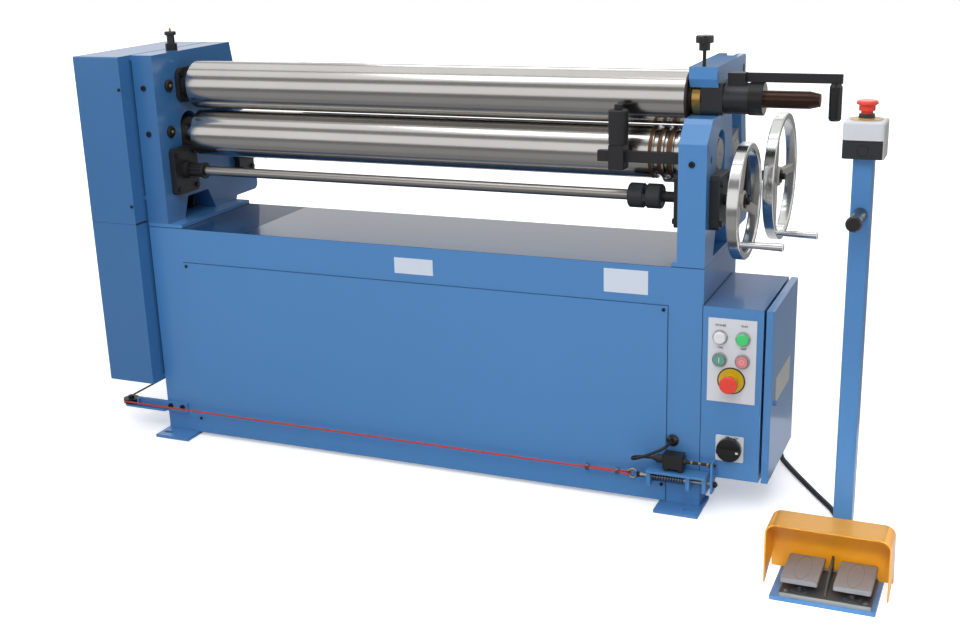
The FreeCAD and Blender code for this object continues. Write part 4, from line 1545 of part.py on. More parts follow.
def pedals():
    """Cast base with a divider, two sprung pedals on a common pin, and the bent yellow hood."""
    x0 = "left_side + "
    y0 = "front_face + "
    base = new_body("pedal_base_body")
    pad(base, "top", "pad_thick", "pedal_base_thick",
        [rectangle((x0 + "pedal_base_left", y0 + "pedal_base_front"),
                   (x0 + "pedal_base_right", y0 + "pedal_base_back"), "6")])
    soften(base, "Fillet", "3", lambda edge: edge.CenterOfMass.z > num("pad_thick + pedal_base_thick") - 0.01)
    middle = "(pedal_left_x + pedal_right_x) / 2"
    divider = new_body("divider_body")
    pad(divider, "side", x0 + middle + " - divider_thick / 2", "divider_thick",
        [[(y0 + "pedal_base_front + 6", "pad_thick + 2"), (y0 + "pedal_base_back - 8", "pad_thick + 2"),
          (y0 + "pedal_base_back - 8", "divider_top + 12"), (y0 + "pedal_base_back - 26", "divider_top + 12"),
          (y0 + "pedal_base_front + 6", "pad_thick + pedal_base_thick + 4")]])
    pivot_y, pivot_z = "pedal_pivot_y", "pedal_pivot_z"
    cheeks = []
    for x in ("pedal_left_x - 32", "pedal_left_x + 26", "pedal_right_x - 32", "pedal_right_x + 26"):
        cheek = new_body("cheek_body")
        pad(cheek, "side", x0 + x, "6",
            [[(pivot_y + " - 8", "pad_thick + 2"), (pivot_y + " + 5.5", "pad_thick + 2"),
              (pivot_y + " + 5.5", pivot_z + " + 5", "3"), (pivot_y + " - 6", pivot_z + " + 5", "3")]])
        cheeks.append(cheek)
    stops = []
    for x in ("pedal_left_x", "pedal_right_x"):
        at = (x0 + x, y0 + "pedal_front + pedal_cup_in")
        cup = rod("pedal_cup", at + ("pad_thick + 1",), "pedal_cup_dia / 2", "pedal_base_thick + 2.5")
        well = rod("pedal_well", at + ("pad_thick + pedal_base_thick + 1",), "pedal_cup_dia / 2 - 3.5", "5")
        stops += [cut("pedal_cup_ring", cup, [well]),
                  rod("pedal_stop", at + ("pad_thick + 1",), "4", "pedal_stop_height - 1")]
    whole = fuse("pedal_base_whole", [base, divider] + cheeks + stops)
    pin_hole = rod("pedal_pin_hole", (x0 + "pedal_base_left", pivot_y, pivot_z), "pedal_pin_dia / 2", "200", "+X")
    node("pedal_base", cut("pedal_base_cut", whole, [pin_hole]))
    node(SCREWS, rod("pedal_pin_rod", (x0 + "pedal_base_left + 2", pivot_y, pivot_z), "pedal_pin_dia / 2",
                          "pedal_base_right - pedal_base_left - 4", "+X"))
    group(SCREWS, [turned("pedal_base_screw", [("0", "0"), ("0", "5"), ("1.2", "5"), ("3", "2"), ("3", "0")],
                          (x0 + x, y0 + "pedal_base_front + 13", "pad_thick + pedal_base_thick"), "+Z")
                   for x in ("pedal_base_left + 15", "pedal_base_right - 15")])
    for name, x in (("left", "pedal_left_x"), ("right", "pedal_right_x")):
        tread(name, x0 + x, y0, pivot_y, pivot_z)
    hood(x0, y0)


def tread(name, x, y0, pivot_y, pivot_z):
    """Cast aluminium pedal: plate with a short skirt round it, and lugs on the pin."""
    body = new_body(name + "_tread_body")
    half = "pedal_width / 2"
    low = ("-" + half, "-pedal_length")
    pad(body, "top", "0", "pedal_thick", [rectangle(low, (half, "0"), "5")])
    soften(body, "Fillet", "2", lambda edge: edge.CenterOfMass.z > num("pedal_thick") - 0.01)
    pad(body, "top", "-pedal_skirt", "pedal_skirt",
        [rectangle(low, (half, "0"), "5"),
         rectangle(("-%s + 4" % half, "-pedal_length + 4"), ("%s - 4" % half, "-4"), "2")])
    lug_y = "-10"
    lug = rod(name + "_lug", ("-25", lug_y, "-pedal_drop"), "6", "50", "+X")
    web = box(name + "_web", ("-25", lug_y + " - 6", "-pedal_drop"), ("25", lug_y + " + 4", "1"))
    whole = fuse(name + "_tread_whole", [body, lug, web])
    bore = rod(name + "_pin_bore", ("-26", lug_y, "-pedal_drop"), "pedal_pin_dia / 2 + fit", "52", "+X")
    node(name + "_pedal", cut(name + "_tread", whole, [bore]), (x, y0 + "pedal_front + pedal_length", "pedal_z"))


def hood(x0, y0):
    """Yellow guard of bent sheet over the pedals: flat top, back wall, and two wings open at the front."""
    wall = "guard_wall"
    body = new_body("hood_body")
    pad(body, "side", x0 + "guard_left", "guard_right - guard_left",
        [[(y0 + "guard_front", "guard_top"), (y0 + "guard_top_back", "guard_top"),
          (y0 + "guard_back", "guard_foot_low"), (y0 + "guard_back - " + wall, "guard_foot_low"),
          (y0 + "guard_back - 10", "guard_foot_low + 36"), (y0 + "guard_front + 3", "guard_low")]])
    soften(body, "Fillet", "guard_round", lambda edge: runs_along("y")(edge)
           and edge.CenterOfMass.z > num("guard_top") - 1)
    room = new_body("hood_room_body")
    pad(room, "side", x0 + "guard_left + " + wall, "guard_right - guard_left - 2 * " + wall,
        [[(y0 + "guard_front - 5", "guard_top - " + wall), (y0 + "guard_top_back - " + wall, "guard_top - " + wall),
          (y0 + "guard_back - " + wall, "guard_foot_low - 5"), (y0 + "guard_front - 5", "guard_foot_low - 5")]])
    soften(room, "Fillet", "guard_round - guard_wall", lambda edge: runs_along("y")(edge)
           and edge.CenterOfMass.z > num("guard_top - guard_wall") - 1)
    node("pedal_hood", cut("hood", body, [room]))


# --- cords --------------------------------------------------------------------------------------------
def cords():
    """Conduit from the control box to the post, and the short lead of the limit switch, with glands."""
    exit_x, exit_z = num("left_side + conduit_exit_x"), num("conduit_exit_z")
    back = num("front_face + control_back")
    post_x, entry_z = num("left_side + stand_x"), num("conduit_entry_z")
    post_y = num("front_face + stand_y + stand_size / 2")
    conduit = [(exit_x, back - 2, exit_z), (exit_x, back + 62, exit_z), (exit_x + 3, back + 66, 7),
               (880, 143, 6.6), (924, 73, 6.6), (987, -24, 6.6), (1025, -78, 6.6), (1052, -150, 6.6),
               (post_x, post_y + 78, 12), (post_x, post_y + 60, entry_z), (post_x, post_y - 2, entry_z)]
    round_cord("pedal_conduit", conduit, num("conduit_dia"))
    lead_y, lead_z = num("rope_line_y"), num("switch_z")
    end_x = num("left_side + switch_left - switch_gland")
    top_x, top_z = num("left_side + grommet_x"), num("grommet_z")
    face = num("front_face")
    lead = [(top_x, face, top_z), (top_x, face - 31, top_z), (top_x - 21, face - 55, top_z - 11),
            (top_x - 83, face - 57, top_z - 39), (top_x - 85, lead_y, lead_z), (end_x + 12, lead_y, lead_z)]
    round_cord("switch_cable", lead, num("cable_dia"))
    glands = []
    glands.append(turned("gland_top", [("0", "conduit_dia / 2"), ("0", "gland_dia / 2"),
                                       ("gland_length - 6", "gland_dia / 2", "1"),
                                       ("gland_length", "gland_dia / 2 - 3"), ("gland_length", "conduit_dia / 2")],
                         ("left_side + conduit_exit_x", "front_face + control_back", "conduit_exit_z"), "+Y"))
    glands.append(turned("gland_post", [("0", "conduit_dia / 2"), ("0", "gland_dia / 2"),
                                        ("gland_length - 6", "gland_dia / 2", "1"),
                                        ("gland_length", "gland_dia / 2 - 3"), ("gland_length", "conduit_dia / 2")],
                         ("left_side + stand_x", "front_face + stand_y + stand_size / 2", "conduit_entry_z"), "+Y"))
    group("cable_glands", glands)


# --- the whole machine --------------------------------------------------------------------------------
SCREWS = "fasteners_and_pins"
WHEEL_TURN = {"front": num("front_crank_angle"), "rear": num("rear_crank_angle")}
HINGE_HEIGHTS = ("(control_low + 40)", "(control_top - 80)")
CONTROL_HOLES = [("left_side + lamp_left", "lamp_z", "stem_dia / 2 - 1"),
                 ("left_side + lamp_right", "lamp_z", "stem_dia / 2 - 1"),
                 ("left_side + lamp_left", "button_z", "button_cap_dia / 2 + slide_gap"),
                 ("left_side + lamp_right", "button_z", "button_cap_dia / 2 + slide_gap"),
                 ("left_side + stop_x", "stop_z", "stem_dia / 2 + slide_gap"),
                 ("isolator_x", "isolator_z", "6 + slide_gap")]
lean_now = num("slot_lean")

base_cabinet()
front_panel()
foot_plates()
left_end_frame()
right_end_frame()
lobed_flange()
grease_caps()
frame_screws()
top_roll()
lower_roll()
rear_roll()
roll_blocks("lower", "roll_axis_y", "lower_axis_z", 0)
roll_blocks("rear", "rear_axis_y", "rear_axis_z", lean_now)
top_carrier()
worm_boxes()
cross_shaft("front", "front_shaft_y", "front_rim_x")
cross_shaft("rear", "rear_shaft_y", "rear_rim_x")
handwheel("front", "front_shaft_y", "front_rim_x", "front_wheel_dia")
handwheel("rear", "rear_shaft_y", "rear_rim_x", "rear_wheel_dia")
top_latch()
knobs()
lift_handle()
cone_stop()
gear_train()
motor_drive()
gear_cover()
control_box()
control_door()
electrics()
control_panel()
isolator()
rope_tackle()
foot_station()
cords()

doc.recompute()
folder = os.path.join(os.path.dirname(os.path.abspath(__file__)), "parts")
os.makedirs(folder, exist_ok=True)
for stale in os.listdir(folder):
    os.remove(os.path.join(folder, stale))
for item in doc.Objects:
    if "Invalid" in item.State or "Touched" in item.State and item.TypeId.startswith("Part"):
        print("not computed:", item.Name, item.State)
for left, base in cuts:
    if base is not None and left.Shape.Volume > base.Shape.Volume - 0.01:
        print("cut takes nothing:", left.Name)
for feature, base in cuts:
    if base is None and feature.BaseFeature and feature.Shape.Volume > feature.BaseFeature.Shape.Volume - 0.01:
        print("pocket takes nothing:", feature.Name)
for label in sorted(nodes):
    shape = nodes[label][0].Shape if len(nodes[label]) == 1 else Part.makeCompound([p.Shape for p in nodes[label]])
    if shape.isNull() or not shape.isValid() or not shape.Solids:
        print("bad shape:", label)
    Part.makeCompound(shape.Solids).exportStep(os.path.join(folder, label + ".step"))
    size = shape.BoundBox
    print("%-20s %2d solids %9.0f mm3  x %7.1f %7.1f  y %7.1f %7.1f  z %7.1f %7.1f"
          % (label, len(shape.Solids), shape.Volume, size.XMin, size.XMax, size.YMin, size.YMax, size.ZMin,
             size.ZMax))
print(len(nodes), "nodes")
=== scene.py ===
"""Powered slip roll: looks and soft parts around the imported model. All lengths in metres."""
import bpy
import bmesh
import math
from mathutils import Matrix, Vector


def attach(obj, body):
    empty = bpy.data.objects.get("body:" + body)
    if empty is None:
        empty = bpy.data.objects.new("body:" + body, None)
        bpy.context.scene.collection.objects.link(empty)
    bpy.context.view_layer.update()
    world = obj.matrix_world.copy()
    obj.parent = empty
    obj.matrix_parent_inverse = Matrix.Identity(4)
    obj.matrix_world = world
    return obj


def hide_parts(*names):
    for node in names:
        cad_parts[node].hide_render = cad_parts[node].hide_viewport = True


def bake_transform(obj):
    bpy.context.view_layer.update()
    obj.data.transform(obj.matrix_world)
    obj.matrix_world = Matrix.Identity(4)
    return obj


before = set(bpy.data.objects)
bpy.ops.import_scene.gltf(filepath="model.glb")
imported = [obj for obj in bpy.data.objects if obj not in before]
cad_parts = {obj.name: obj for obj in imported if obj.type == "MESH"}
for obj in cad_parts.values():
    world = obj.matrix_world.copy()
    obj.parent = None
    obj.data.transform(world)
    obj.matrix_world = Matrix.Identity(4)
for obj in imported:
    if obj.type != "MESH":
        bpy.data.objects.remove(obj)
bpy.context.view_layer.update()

# --- studio: a soft bright room with a camera at eye height and three large lamps, plus a small one on the
# pedals. The camera stands in front of the right end of the machine and looks down the rolls from there.
SIGHT = dict(place=(1.37846, -2.8555, 1.32881), yaw=23.63, pitch=-17.33, roll=-1.78)
FOCAL_PIXELS, PICTURE_WIDTH, SENSOR_WIDTH = 1300.32, 960, 36.0

camera_data = bpy.data.cameras.new("camera")
camera_data.sensor_fit = "HORIZONTAL"
camera_data.sensor_width = SENSOR_WIDTH
camera_data.lens = FOCAL_PIXELS / PICTURE_WIDTH * SENSOR_WIDTH
camera_data.clip_start, camera_data.clip_end = 0.05, 60
camera = bpy.data.objects.new("camera", camera_data)
bpy.context.collection.objects.link(camera)
camera.matrix_world = (Matrix.Translation(SIGHT["place"])
                       @ Matrix.Rotation(math.radians(SIGHT["yaw"]), 4, "Z")
                       @ Matrix.Rotation(math.radians(90 + SIGHT["pitch"]), 4, "X")
                       @ Matrix.Rotation(math.radians(SIGHT["roll"]), 4, "Z"))
bpy.context.scene.camera = camera
bpy.context.scene.view_settings.view_transform = "Standard"


def soft_lamp(name, place, aim, width, height, power):
    """Rectangular studio lamp that faces a point."""
    bpy.ops.object.light_add(type="AREA", location=place)
    lamp = bpy.context.object
    lamp.name = name
    lamp.data.shape = "RECTANGLE"
    lamp.data.size, lamp.data.size_y, lamp.data.energy = width, height, power
    lamp.rotation_euler = (Vector(aim) - Vector(place)).to_track_quat("-Z", "Y").to_euler()
    return lamp


soft_lamp("lamp_over_front", (0.9, -2.4, 2.9), (0.25, 0.0, 0.5), 2.4, 1.4, 44).visible_glossy = False
soft_lamp("lamp_above", (0.2, -0.6, 3.6), (0.0, 0.0, 0.6), 3.4, 1.2, 26)
soft_lamp("lamp_back", (-0.4, 3.0, 2.8), (0.0, 0.0, 0.7), 3.0, 1.2, 18)
pedal_lamp = soft_lamp("lamp_pedals", (1.35, -1.9, 1.3), (1.09, -0.42, 0.06), 0.3, 0.3, 0.36)
pedal_lamp.visible_glossy = False
pedal_lamp.data.spread = math.radians(20)


def fade(tree, source, start, end, near, far):
    """Socket whose value runs from near to far while the source runs from start to end."""
    made = tree.nodes.new("ShaderNodeMapRange")
    for key, value in (("From Min", start), ("From Max", end), ("To Min", near), ("To Max", far)):
        made.inputs[key].default_value = value
    tree.links.new(source, made.inputs["Value"])
    return made.outputs[0]


def either(tree, first, second):
    """Socket that is 1 where one of two kinds of ray arrives."""
    made = tree.nodes.new("ShaderNodeMath")
    made.operation = "MAXIMUM"
    tree.links.new(first, made.inputs[0])
    tree.links.new(second, made.inputs[1])
    return made.outputs[0]


# The room dims to the right. The camera, polished metal and glass see plain white in its place.
world = bpy.data.worlds.new("room")
bpy.context.scene.world = world
world.use_nodes = True
air = world.node_tree
air.nodes.clear()
sky = air.nodes.new("ShaderNodeOutputWorld")
room = air.nodes.new("ShaderNodeBackground")
compass = air.nodes.new("ShaderNodeTexCoord")
bearing = air.nodes.new("ShaderNodeSeparateXYZ")
air.links.new(compass.outputs["Generated"], bearing.inputs[0])
room.inputs["Color"].default_value = (0.98, 0.99, 1.0, 1)
air.links.new(fade(air, bearing.outputs["X"], 0.0, 0.9, 0.72, 0.14), room.inputs["Strength"])
backdrop = air.nodes.new("ShaderNodeBackground")
backdrop.inputs["Color"].default_value = (1, 1, 1, 1)
choice = air.nodes.new("ShaderNodeMixShader")
ray = air.nodes.new("ShaderNodeLightPath")
seen = either(air, ray.outputs["Is Camera Ray"], ray.outputs["Is Glossy Ray"])
air.links.new(either(air, seen, ray.outputs["Is Transmission Ray"]), choice.inputs[0])
air.links.new(room.outputs[0], choice.inputs[1])
air.links.new(backdrop.outputs[0], choice.inputs[2])
air.links.new(choice.outputs[0], sky.inputs["Surface"])

# --- grey cards: what the polished rolls and wheels mirror beside the white room. Each is a thin plane in
# its own grey that only mirror rays meet, so it belongs to the studio and not to the object.


def grey_card(name, x, low, high, grey):
    """Grey card of the studio, seen only in polished metal: it spans x, between two (y, z) edges."""
    bpy.ops.mesh.primitive_plane_add(size=1)
    card = bpy.context.object
    card.name = name
    corners = ((x[0], low), (x[1], low), (x[0], high), (x[1], high))
    for corner, (side, (y, z)) in zip(card.data.vertices, corners):
        corner.co = (side, y, z)
    paper = bpy.data.materials.new(name + "_paper")
    paper.use_nodes = True
    face = paper.node_tree.nodes["Principled BSDF"]
    face.inputs["Base Color"].default_value = (0, 0, 0, 1)
    face.inputs["Specular IOR Level"].default_value = 0
    face.inputs["Emission Color"].default_value = (grey, grey, grey, 1)
    face.inputs["Emission Strength"].default_value = 1
    card.data.materials.append(paper)
    card.visible_camera = card.visible_diffuse = card.visible_shadow = card.visible_transmission = False


grey_card("card_upper", (-5, 6), (-2.93, 2.58), (-2.16, 3.40), 0.26)
grey_card("card_overhead", (-5, 6), (-0.19, 3.40), (-0.48, 3.40), 0.24)
grey_card("card_behind_high", (-6, 7), (2.90, 2.60), (2.90, 4.20), 0.50)
grey_card("card_between_rolls", (-0.62, 0.66), (0.46, 0.790), (0.46, 1.110), 0.05)
grey_card("card_far", (-8, 9), (-2.3, 0.004), (-11.8, 0.004), 0.20)
grey_card("card_middle", (-5, 6), (-0.80, 0.004), (-2.3, 0.004), 0.34)
grey_card("card_near", (-3, 0.9), (-0.36, 0.004), (-0.80, 0.004), 0.26)
grey_card("card_foot", (-3, 0.9), (-0.165, 0.004), (-0.36, 0.004), 0.07)
grey_card("card_right", (0.95, 7), (0.45, 0.003), (9, 0.003), 0.26)

# --- floor: matt white paint, half a millimetre under the foot plates, on a plane with no edge in view.
# It glows for the camera alone, more with distance, so it fades into the room and keeps the shadows.
bpy.ops.mesh.primitive_plane_add(size=24, location=(0, 0, -0.0005))
floor = bpy.context.object
floor.name = "floor"
floor_paint = bpy.data.materials.new("floor_paint")
floor_paint.use_nodes = True
ground = floor_paint.node_tree
floor_skin = ground.nodes["Principled BSDF"]
floor_skin.inputs["Base Color"].default_value = (0.93, 0.93, 0.94, 1)
floor_skin.inputs["Roughness"].default_value = 0.9
floor_skin.inputs["Emission Color"].default_value = (1, 1, 1, 1)
floor_ray = ground.nodes.new("ShaderNodeLightPath")
floor_glow = ground.nodes.new("ShaderNodeMath")
floor_glow.operation = "MULTIPLY"
floor_place = ground.nodes.new("ShaderNodeTexCoord")
floor_reach = ground.nodes.new("ShaderNodeVectorMath")
floor_reach.operation = "LENGTH"
ground.links.new(floor_place.outputs["Object"], floor_reach.inputs[0])
ground.links.new(fade(ground, floor_reach.outputs["Value"], 1.5, 4.5, 0.40, 0.90), floor_glow.inputs[1])
ground.links.new(floor_ray.outputs["Is Camera Ray"], floor_glow.inputs[0])
ground.links.new(floor_glow.outputs[0], floor_skin.inputs["Emission Strength"])
floor.data.materials.append(floor_paint)

# --- pedal_conduit: black ribbed plastic conduit, 13 mm across. It leaves the back of the control box,
# drops to the floor and runs round the box to the post. The ribs are moulded, with rounded crests.


def finish(name, colour, roughness, metallic=0.0, coat=0.0, mottle=0.06, mottle_size=7.0,
           grain=(400, 400, 400), bump=0.02, rough_spread=0.06, zones=()):
    """One skin: base colour with slow clouds, fine grain for gloss and height, and zones of other colours.

    A zone is (spans, colour, roughness, metallic). Each span is (axis, start, end), and in place of an axis
    letter it may give (axis, a, b): the distance from the line along that axis through a and b."""
    material = bpy.data.materials.new(name)
    material.use_nodes = True
    tree = material.node_tree
    skin = tree.nodes["Principled BSDF"]
    place = tree.nodes.new("ShaderNodeTexCoord")

    def add(kind, **values):
        made = tree.nodes.new(kind)
        for key, value in values.items():
            setattr(made, key, value)
        return made

    def join(start, end):
        tree.links.new(start, end)

    def maths(operation, first, second):
        made = add("ShaderNodeMath", operation=operation)
        for socket, value in zip(made.inputs, (first, second)):
            if isinstance(value, (int, float)):
                socket.default_value = value
            else:
                join(value, socket)
        return made.outputs[0]

    def blend(kind, share, first, second):
        made = add("ShaderNodeMix", data_type=kind)
        join(share, made.inputs[0])
        a, b, out = (6, 7, 2) if kind == "RGBA" else (2, 3, 0)
        for socket, value in ((made.inputs[a], first), (made.inputs[b], second)):
            if hasattr(value, "is_output"):
                join(value, socket)
            else:
                socket.default_value = value
        return made.outputs[out]

    clouds = add("ShaderNodeTexNoise")
    clouds.inputs["Scale"].default_value = mottle_size
    clouds.inputs["Detail"].default_value = 3
    join(place.outputs["Object"], clouds.inputs["Vector"])
    dark = tuple(max(0.0, c * (1 - mottle)) for c in colour) + (1,)
    pale = tuple(min(1.0, c * (1 + mottle)) for c in colour) + (1,)
    tint = blend("RGBA", clouds.outputs["Fac"], dark, pale)
    stretch = add("ShaderNodeMapping")
    stretch.inputs["Scale"].default_value = grain
    join(place.outputs["Object"], stretch.inputs["Vector"])
    fine = add("ShaderNodeTexNoise")
    fine.inputs["Scale"].default_value = 1
    fine.inputs["Detail"].default_value = 4
    join(stretch.outputs[0], fine.inputs["Vector"])
    spread = add("ShaderNodeMapRange")
    spread.inputs["To Min"].default_value = roughness - rough_spread
    spread.inputs["To Max"].default_value = roughness + rough_spread
    join(fine.outputs["Fac"], spread.inputs["Value"])
    gloss, metal = spread.outputs[0], metallic
    if zones:
        axes = add("ShaderNodeSeparateXYZ")
        join(place.outputs["Object"], axes.inputs[0])
        for spans, other, other_rough, other_metal in zones:
            inside = 1.0
            for axis, start, end in spans:
                if isinstance(axis, str):
                    reach = axes.outputs[axis]
                else:
                    first, second = [letter for letter in "XYZ" if letter != axis[0]]
                    aside = maths("SUBTRACT", axes.outputs[first], axis[1])
                    above = maths("SUBTRACT", axes.outputs[second], axis[2])
                    reach = maths("SQRT", maths("ADD", maths("MULTIPLY", aside, aside),
                                                maths("MULTIPLY", above, above)), 0.0)
                inside = maths("MULTIPLY", inside, maths("MULTIPLY", maths("GREATER_THAN", reach, start),
                                                         maths("LESS_THAN", reach, end)))
            tint = blend("RGBA", inside, tint, tuple(other) + (1,))
            gloss = blend("FLOAT", inside, gloss, other_rough)
            metal = blend("FLOAT", inside, metal, other_metal)
    join(tint, skin.inputs["Base Color"])
    join(gloss, skin.inputs["Roughness"])
    if hasattr(metal, "is_output"):
        join(metal, skin.inputs["Metallic"])
    else:
        skin.inputs["Metallic"].default_value = metal
    skin.inputs["Coat Weight"].default_value = coat
    skin.inputs["Coat Roughness"].default_value = 0.08
    relief = add("ShaderNodeBump")
    relief.inputs["Strength"].default_value = bump
    relief.inputs["Distance"].default_value = 0.001
    join(fine.outputs["Fac"], relief.inputs["Height"])
    join(relief.outputs[0], skin.inputs["Normal"])
    return material


def smooth_line(name, points):
    """Cord line: one smooth spline that follows its route's points."""
    line = bpy.data.curves.new(name, "CURVE")
    line.dimensions = "3D"
    spline = line.splines.new("NURBS")
    spline.points.add(len(points) - 1)
    for place, point in zip(spline.points, points):
        place.co = (*point, 1)
    spline.order_u = 3
    spline.use_endpoint_u = True
    line.resolution_u = 24
    cord = bpy.data.objects.new(name, line)
    bpy.context.collection.objects.link(cord)
    return cord


black_hose = finish("black_hose", (0.012, 0.012, 0.014), 0.42, mottle=0.2, bump=0.1)
CONDUIT_R, RIB_HEIGHT, RIB_STEP = 0.0060, 0.0005, 0.004
conduit_line = smooth_line("conduit_line", [
    (0.850, 0.124, 0.108), (0.850, 0.188, 0.108), (0.853, 0.192, 0.007), (0.880, 0.143, 0.0066),
    (0.924, 0.073, 0.0066), (0.987, -0.024, 0.0066), (1.025, -0.078, 0.0066), (1.052, -0.150, 0.0066),
    (1.078, -0.232, 0.012), (1.078, -0.250, 0.060), (1.078, -0.312, 0.060)])


def even_points(line, step):
    """Points at even steps along a cord line, read from the line itself."""
    traced = bpy.data.meshes.new_from_object(line)
    points = [v.co.copy() for v in traced.vertices]
    bpy.data.meshes.remove(traced)
    even, left = [points[0]], step
    for start, end in zip(points, points[1:]):
        length = (end - start).length
        while left <= length:
            even.append(start.lerp(end, left / length))
            left += step
        left -= length
    if (even[-1] - points[-1]).length > step * 0.3:
        even.append(points[-1])
    else:
        even[-1] = points[-1]
    return even


def tube(name, points, radius_at, sides):
    """Closed mesh tube along points. Its radius comes from the length gone and the angle round it."""
    shell = bmesh.new()
    rings, side, gone = [], None, 0.0
    for i, point in enumerate(points):
        ahead = (points[min(i + 1, len(points) - 1)] - points[max(i - 1, 0)]).normalized()
        if side is None:
            side = ahead.orthogonal().normalized()
        side = (side - ahead * side.dot(ahead)).normalized()
        across = ahead.cross(side)
        gone += (point - points[i - 1]).length if i else 0.0
        ring = []
        for k in range(sides):
            angle = 2 * math.pi * k / sides
            outward = side * math.cos(angle) + across * math.sin(angle)
            ring.append(shell.verts.new(point + radius_at(gone, angle) * outward))
        rings.append(ring)
    for low, high in zip(rings, rings[1:]):
        for k in range(sides):
            shell.faces.new((low[k], low[(k + 1) % sides], high[(k + 1) % sides], high[k]))
    shell.faces.new(list(reversed(rings[0])))
    shell.faces.new(rings[-1])
    mesh = bpy.data.meshes.new(name)
    shell.to_mesh(mesh)
    shell.free()
    mesh.polygons.foreach_set("use_smooth", [True] * len(mesh.polygons))
    piece = bpy.data.objects.new(name, mesh)
    bpy.context.collection.objects.link(piece)
    return piece


conduit_points = even_points(conduit_line, 0.001)
bpy.data.objects.remove(conduit_line)
conduit = tube("ribbed_conduit", conduit_points,
               lambda gone, angle: CONDUIT_R + RIB_HEIGHT * math.cos(2 * math.pi * gone / RIB_STEP), 16)
conduit.data.materials.append(black_hose)
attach(conduit, "machine")
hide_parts("pedal_conduit")

# --- switch_cable: 7 mm rubber lead of the rope switch. It comes out of the rubber bush in the bench
# front, goes left in one short loop and back right into the switch's gland.
black_rubber = finish("black_rubber", (0.010, 0.010, 0.011), 0.5, mottle=0.2, bump=0.08)
LEAD_R = 0.0035
lead = smooth_line("switch_lead", [
    (0.671, -0.159, 0.163), (0.671, -0.190, 0.163), (0.650, -0.214, 0.152), (0.588, -0.216, 0.124),
    (0.586, -0.181, 0.1225), (0.644, -0.181, 0.1225)])
lead.data.bevel_depth = LEAD_R
lead.data.bevel_resolution = 5
lead.data.use_fill_caps = True
lead.data.materials.append(black_rubber)
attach(lead, "machine")
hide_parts("switch_cable")

# --- trip_rope: wire rope in a thin red plastic cover, 5 mm across, stretched low along the bench front,
# round the pulley and back to its anchor, where its red is painted over dark as shade. Two small clamps
# hold its doubled end behind the eye bolt, and a third holds the tail at the anchor.
ROPE_Y, ROPE_Z, ROPE_R = -0.181, 0.076, 0.0025
STRANDS, STRAND_HEIGHT, LAY = 7, 0.00012, 0.009
PULLEY_X, PULLEY_Y, PULLEY_R = -0.855, -0.162, 0.019
LOOP_X, LOOP_R, DOUBLED_STEP = 0.5693, 0.008, 0.0052
ANCHOR_Y, ANCHOR_R, RETURN_X, TAIL_X = 0.141, 0.0068, -0.874, -0.8688
# The return run from the pulley to the anchor: a dark colour painted in as shade.
RETURN_SIDE_SHADE = [("X", -0.90, -0.862), ("Y", -0.155, 0.20)]
rope_red = finish("rope_red", (0.50, 0.035, 0.03), 0.38, coat=0.2, bump=0.05,
                  zones=[(RETURN_SIDE_SHADE, (0.030, 0.018, 0.018), 0.42, 0.0)])


def rope_run(*corners, step=0.0016):
    """Even points on a stretched rope between its corners."""
    points = []
    for start, end in zip(corners, corners[1:]):
        count = max(1, round((Vector(end) - Vector(start)).length / step))
        points += [Vector(start).lerp(Vector(end), k / count) for k in range(count)]
    return points + [Vector(corners[-1])]


def turn_points(x, y, radius, start, end, count):
    """Points on a bend in the rope's plane, from one angle to another."""
    return [(x + radius * math.cos(a), y + radius * math.sin(a), ROPE_Z)
            for a in (math.radians(start + (end - start) * k / count) for k in range(count + 1))]


def laid(gone, angle):
    """Radius of the covered rope: its strands show through as faint twisted ridges."""
    return ROPE_R - STRAND_HEIGHT + STRAND_HEIGHT * math.cos(STRANDS * angle - 2 * math.pi * gone / LAY)


rope = tube("covered_rope", rope_run(
    (0.457, ROPE_Y + DOUBLED_STEP, ROPE_Z), (0.548, ROPE_Y + DOUBLED_STEP, ROPE_Z),
    *turn_points(LOOP_X, ROPE_Y, LOOP_R, 138, -138, 24), (0.549, ROPE_Y, ROPE_Z),
    *turn_points(PULLEY_X, PULLEY_Y, PULLEY_R, 270, 180, 14), (RETURN_X, 0.118, ROPE_Z),
    *turn_points(RETURN_X, ANCHOR_Y, ANCHOR_R, 222, -42, 24),
    (TAIL_X, 0.118, ROPE_Z), (TAIL_X, 0.084, ROPE_Z)), laid, 21)
rope.data.materials.append(rope_red)
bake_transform(rope)
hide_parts("trip_rope")


def round_edges(width, segments):
    """Round every edge of the piece that was just added."""
    bpy.ops.object.mode_set(mode="EDIT")
    bpy.ops.mesh.select_all(action="SELECT")
    bpy.ops.mesh.bevel(offset=width, segments=segments, affect="EDGES")
    bpy.ops.object.mode_set(mode="OBJECT")


def block(name, low, high, body, material, edge=0.0):
    """Plain block between two corners, its edges rounded when asked for."""
    bpy.ops.object.select_all(action="DESELECT")
    bpy.ops.mesh.primitive_cube_add(size=1, location=[(a + b) / 2 for a, b in zip(low, high)])
    piece = bpy.context.object
    piece.name = name
    piece.scale = [b - a for a, b in zip(low, high)]
    bpy.ops.object.transform_apply(location=True, rotation=True, scale=True)
    if edge:
        round_edges(edge, 3)
    piece.data.materials.append(material)
    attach(piece, body)
    return piece


def clamp_bolt(name, place, body, material):
    """Small hexagon bolt head of a rope clamp, standing out to the front."""
    bpy.ops.object.select_all(action="DESELECT")
    bpy.ops.mesh.primitive_cylinder_add(vertices=6, radius=0.0034, depth=0.0025, location=place,
                                        rotation=(math.radians(90), 0, 0))
    head = bpy.context.object
    head.name = name
    bpy.ops.object.transform_apply(location=True, rotation=True, scale=True)
    round_edges(0.0004, 2)
    head.data.materials.append(material)
    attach(head, body)


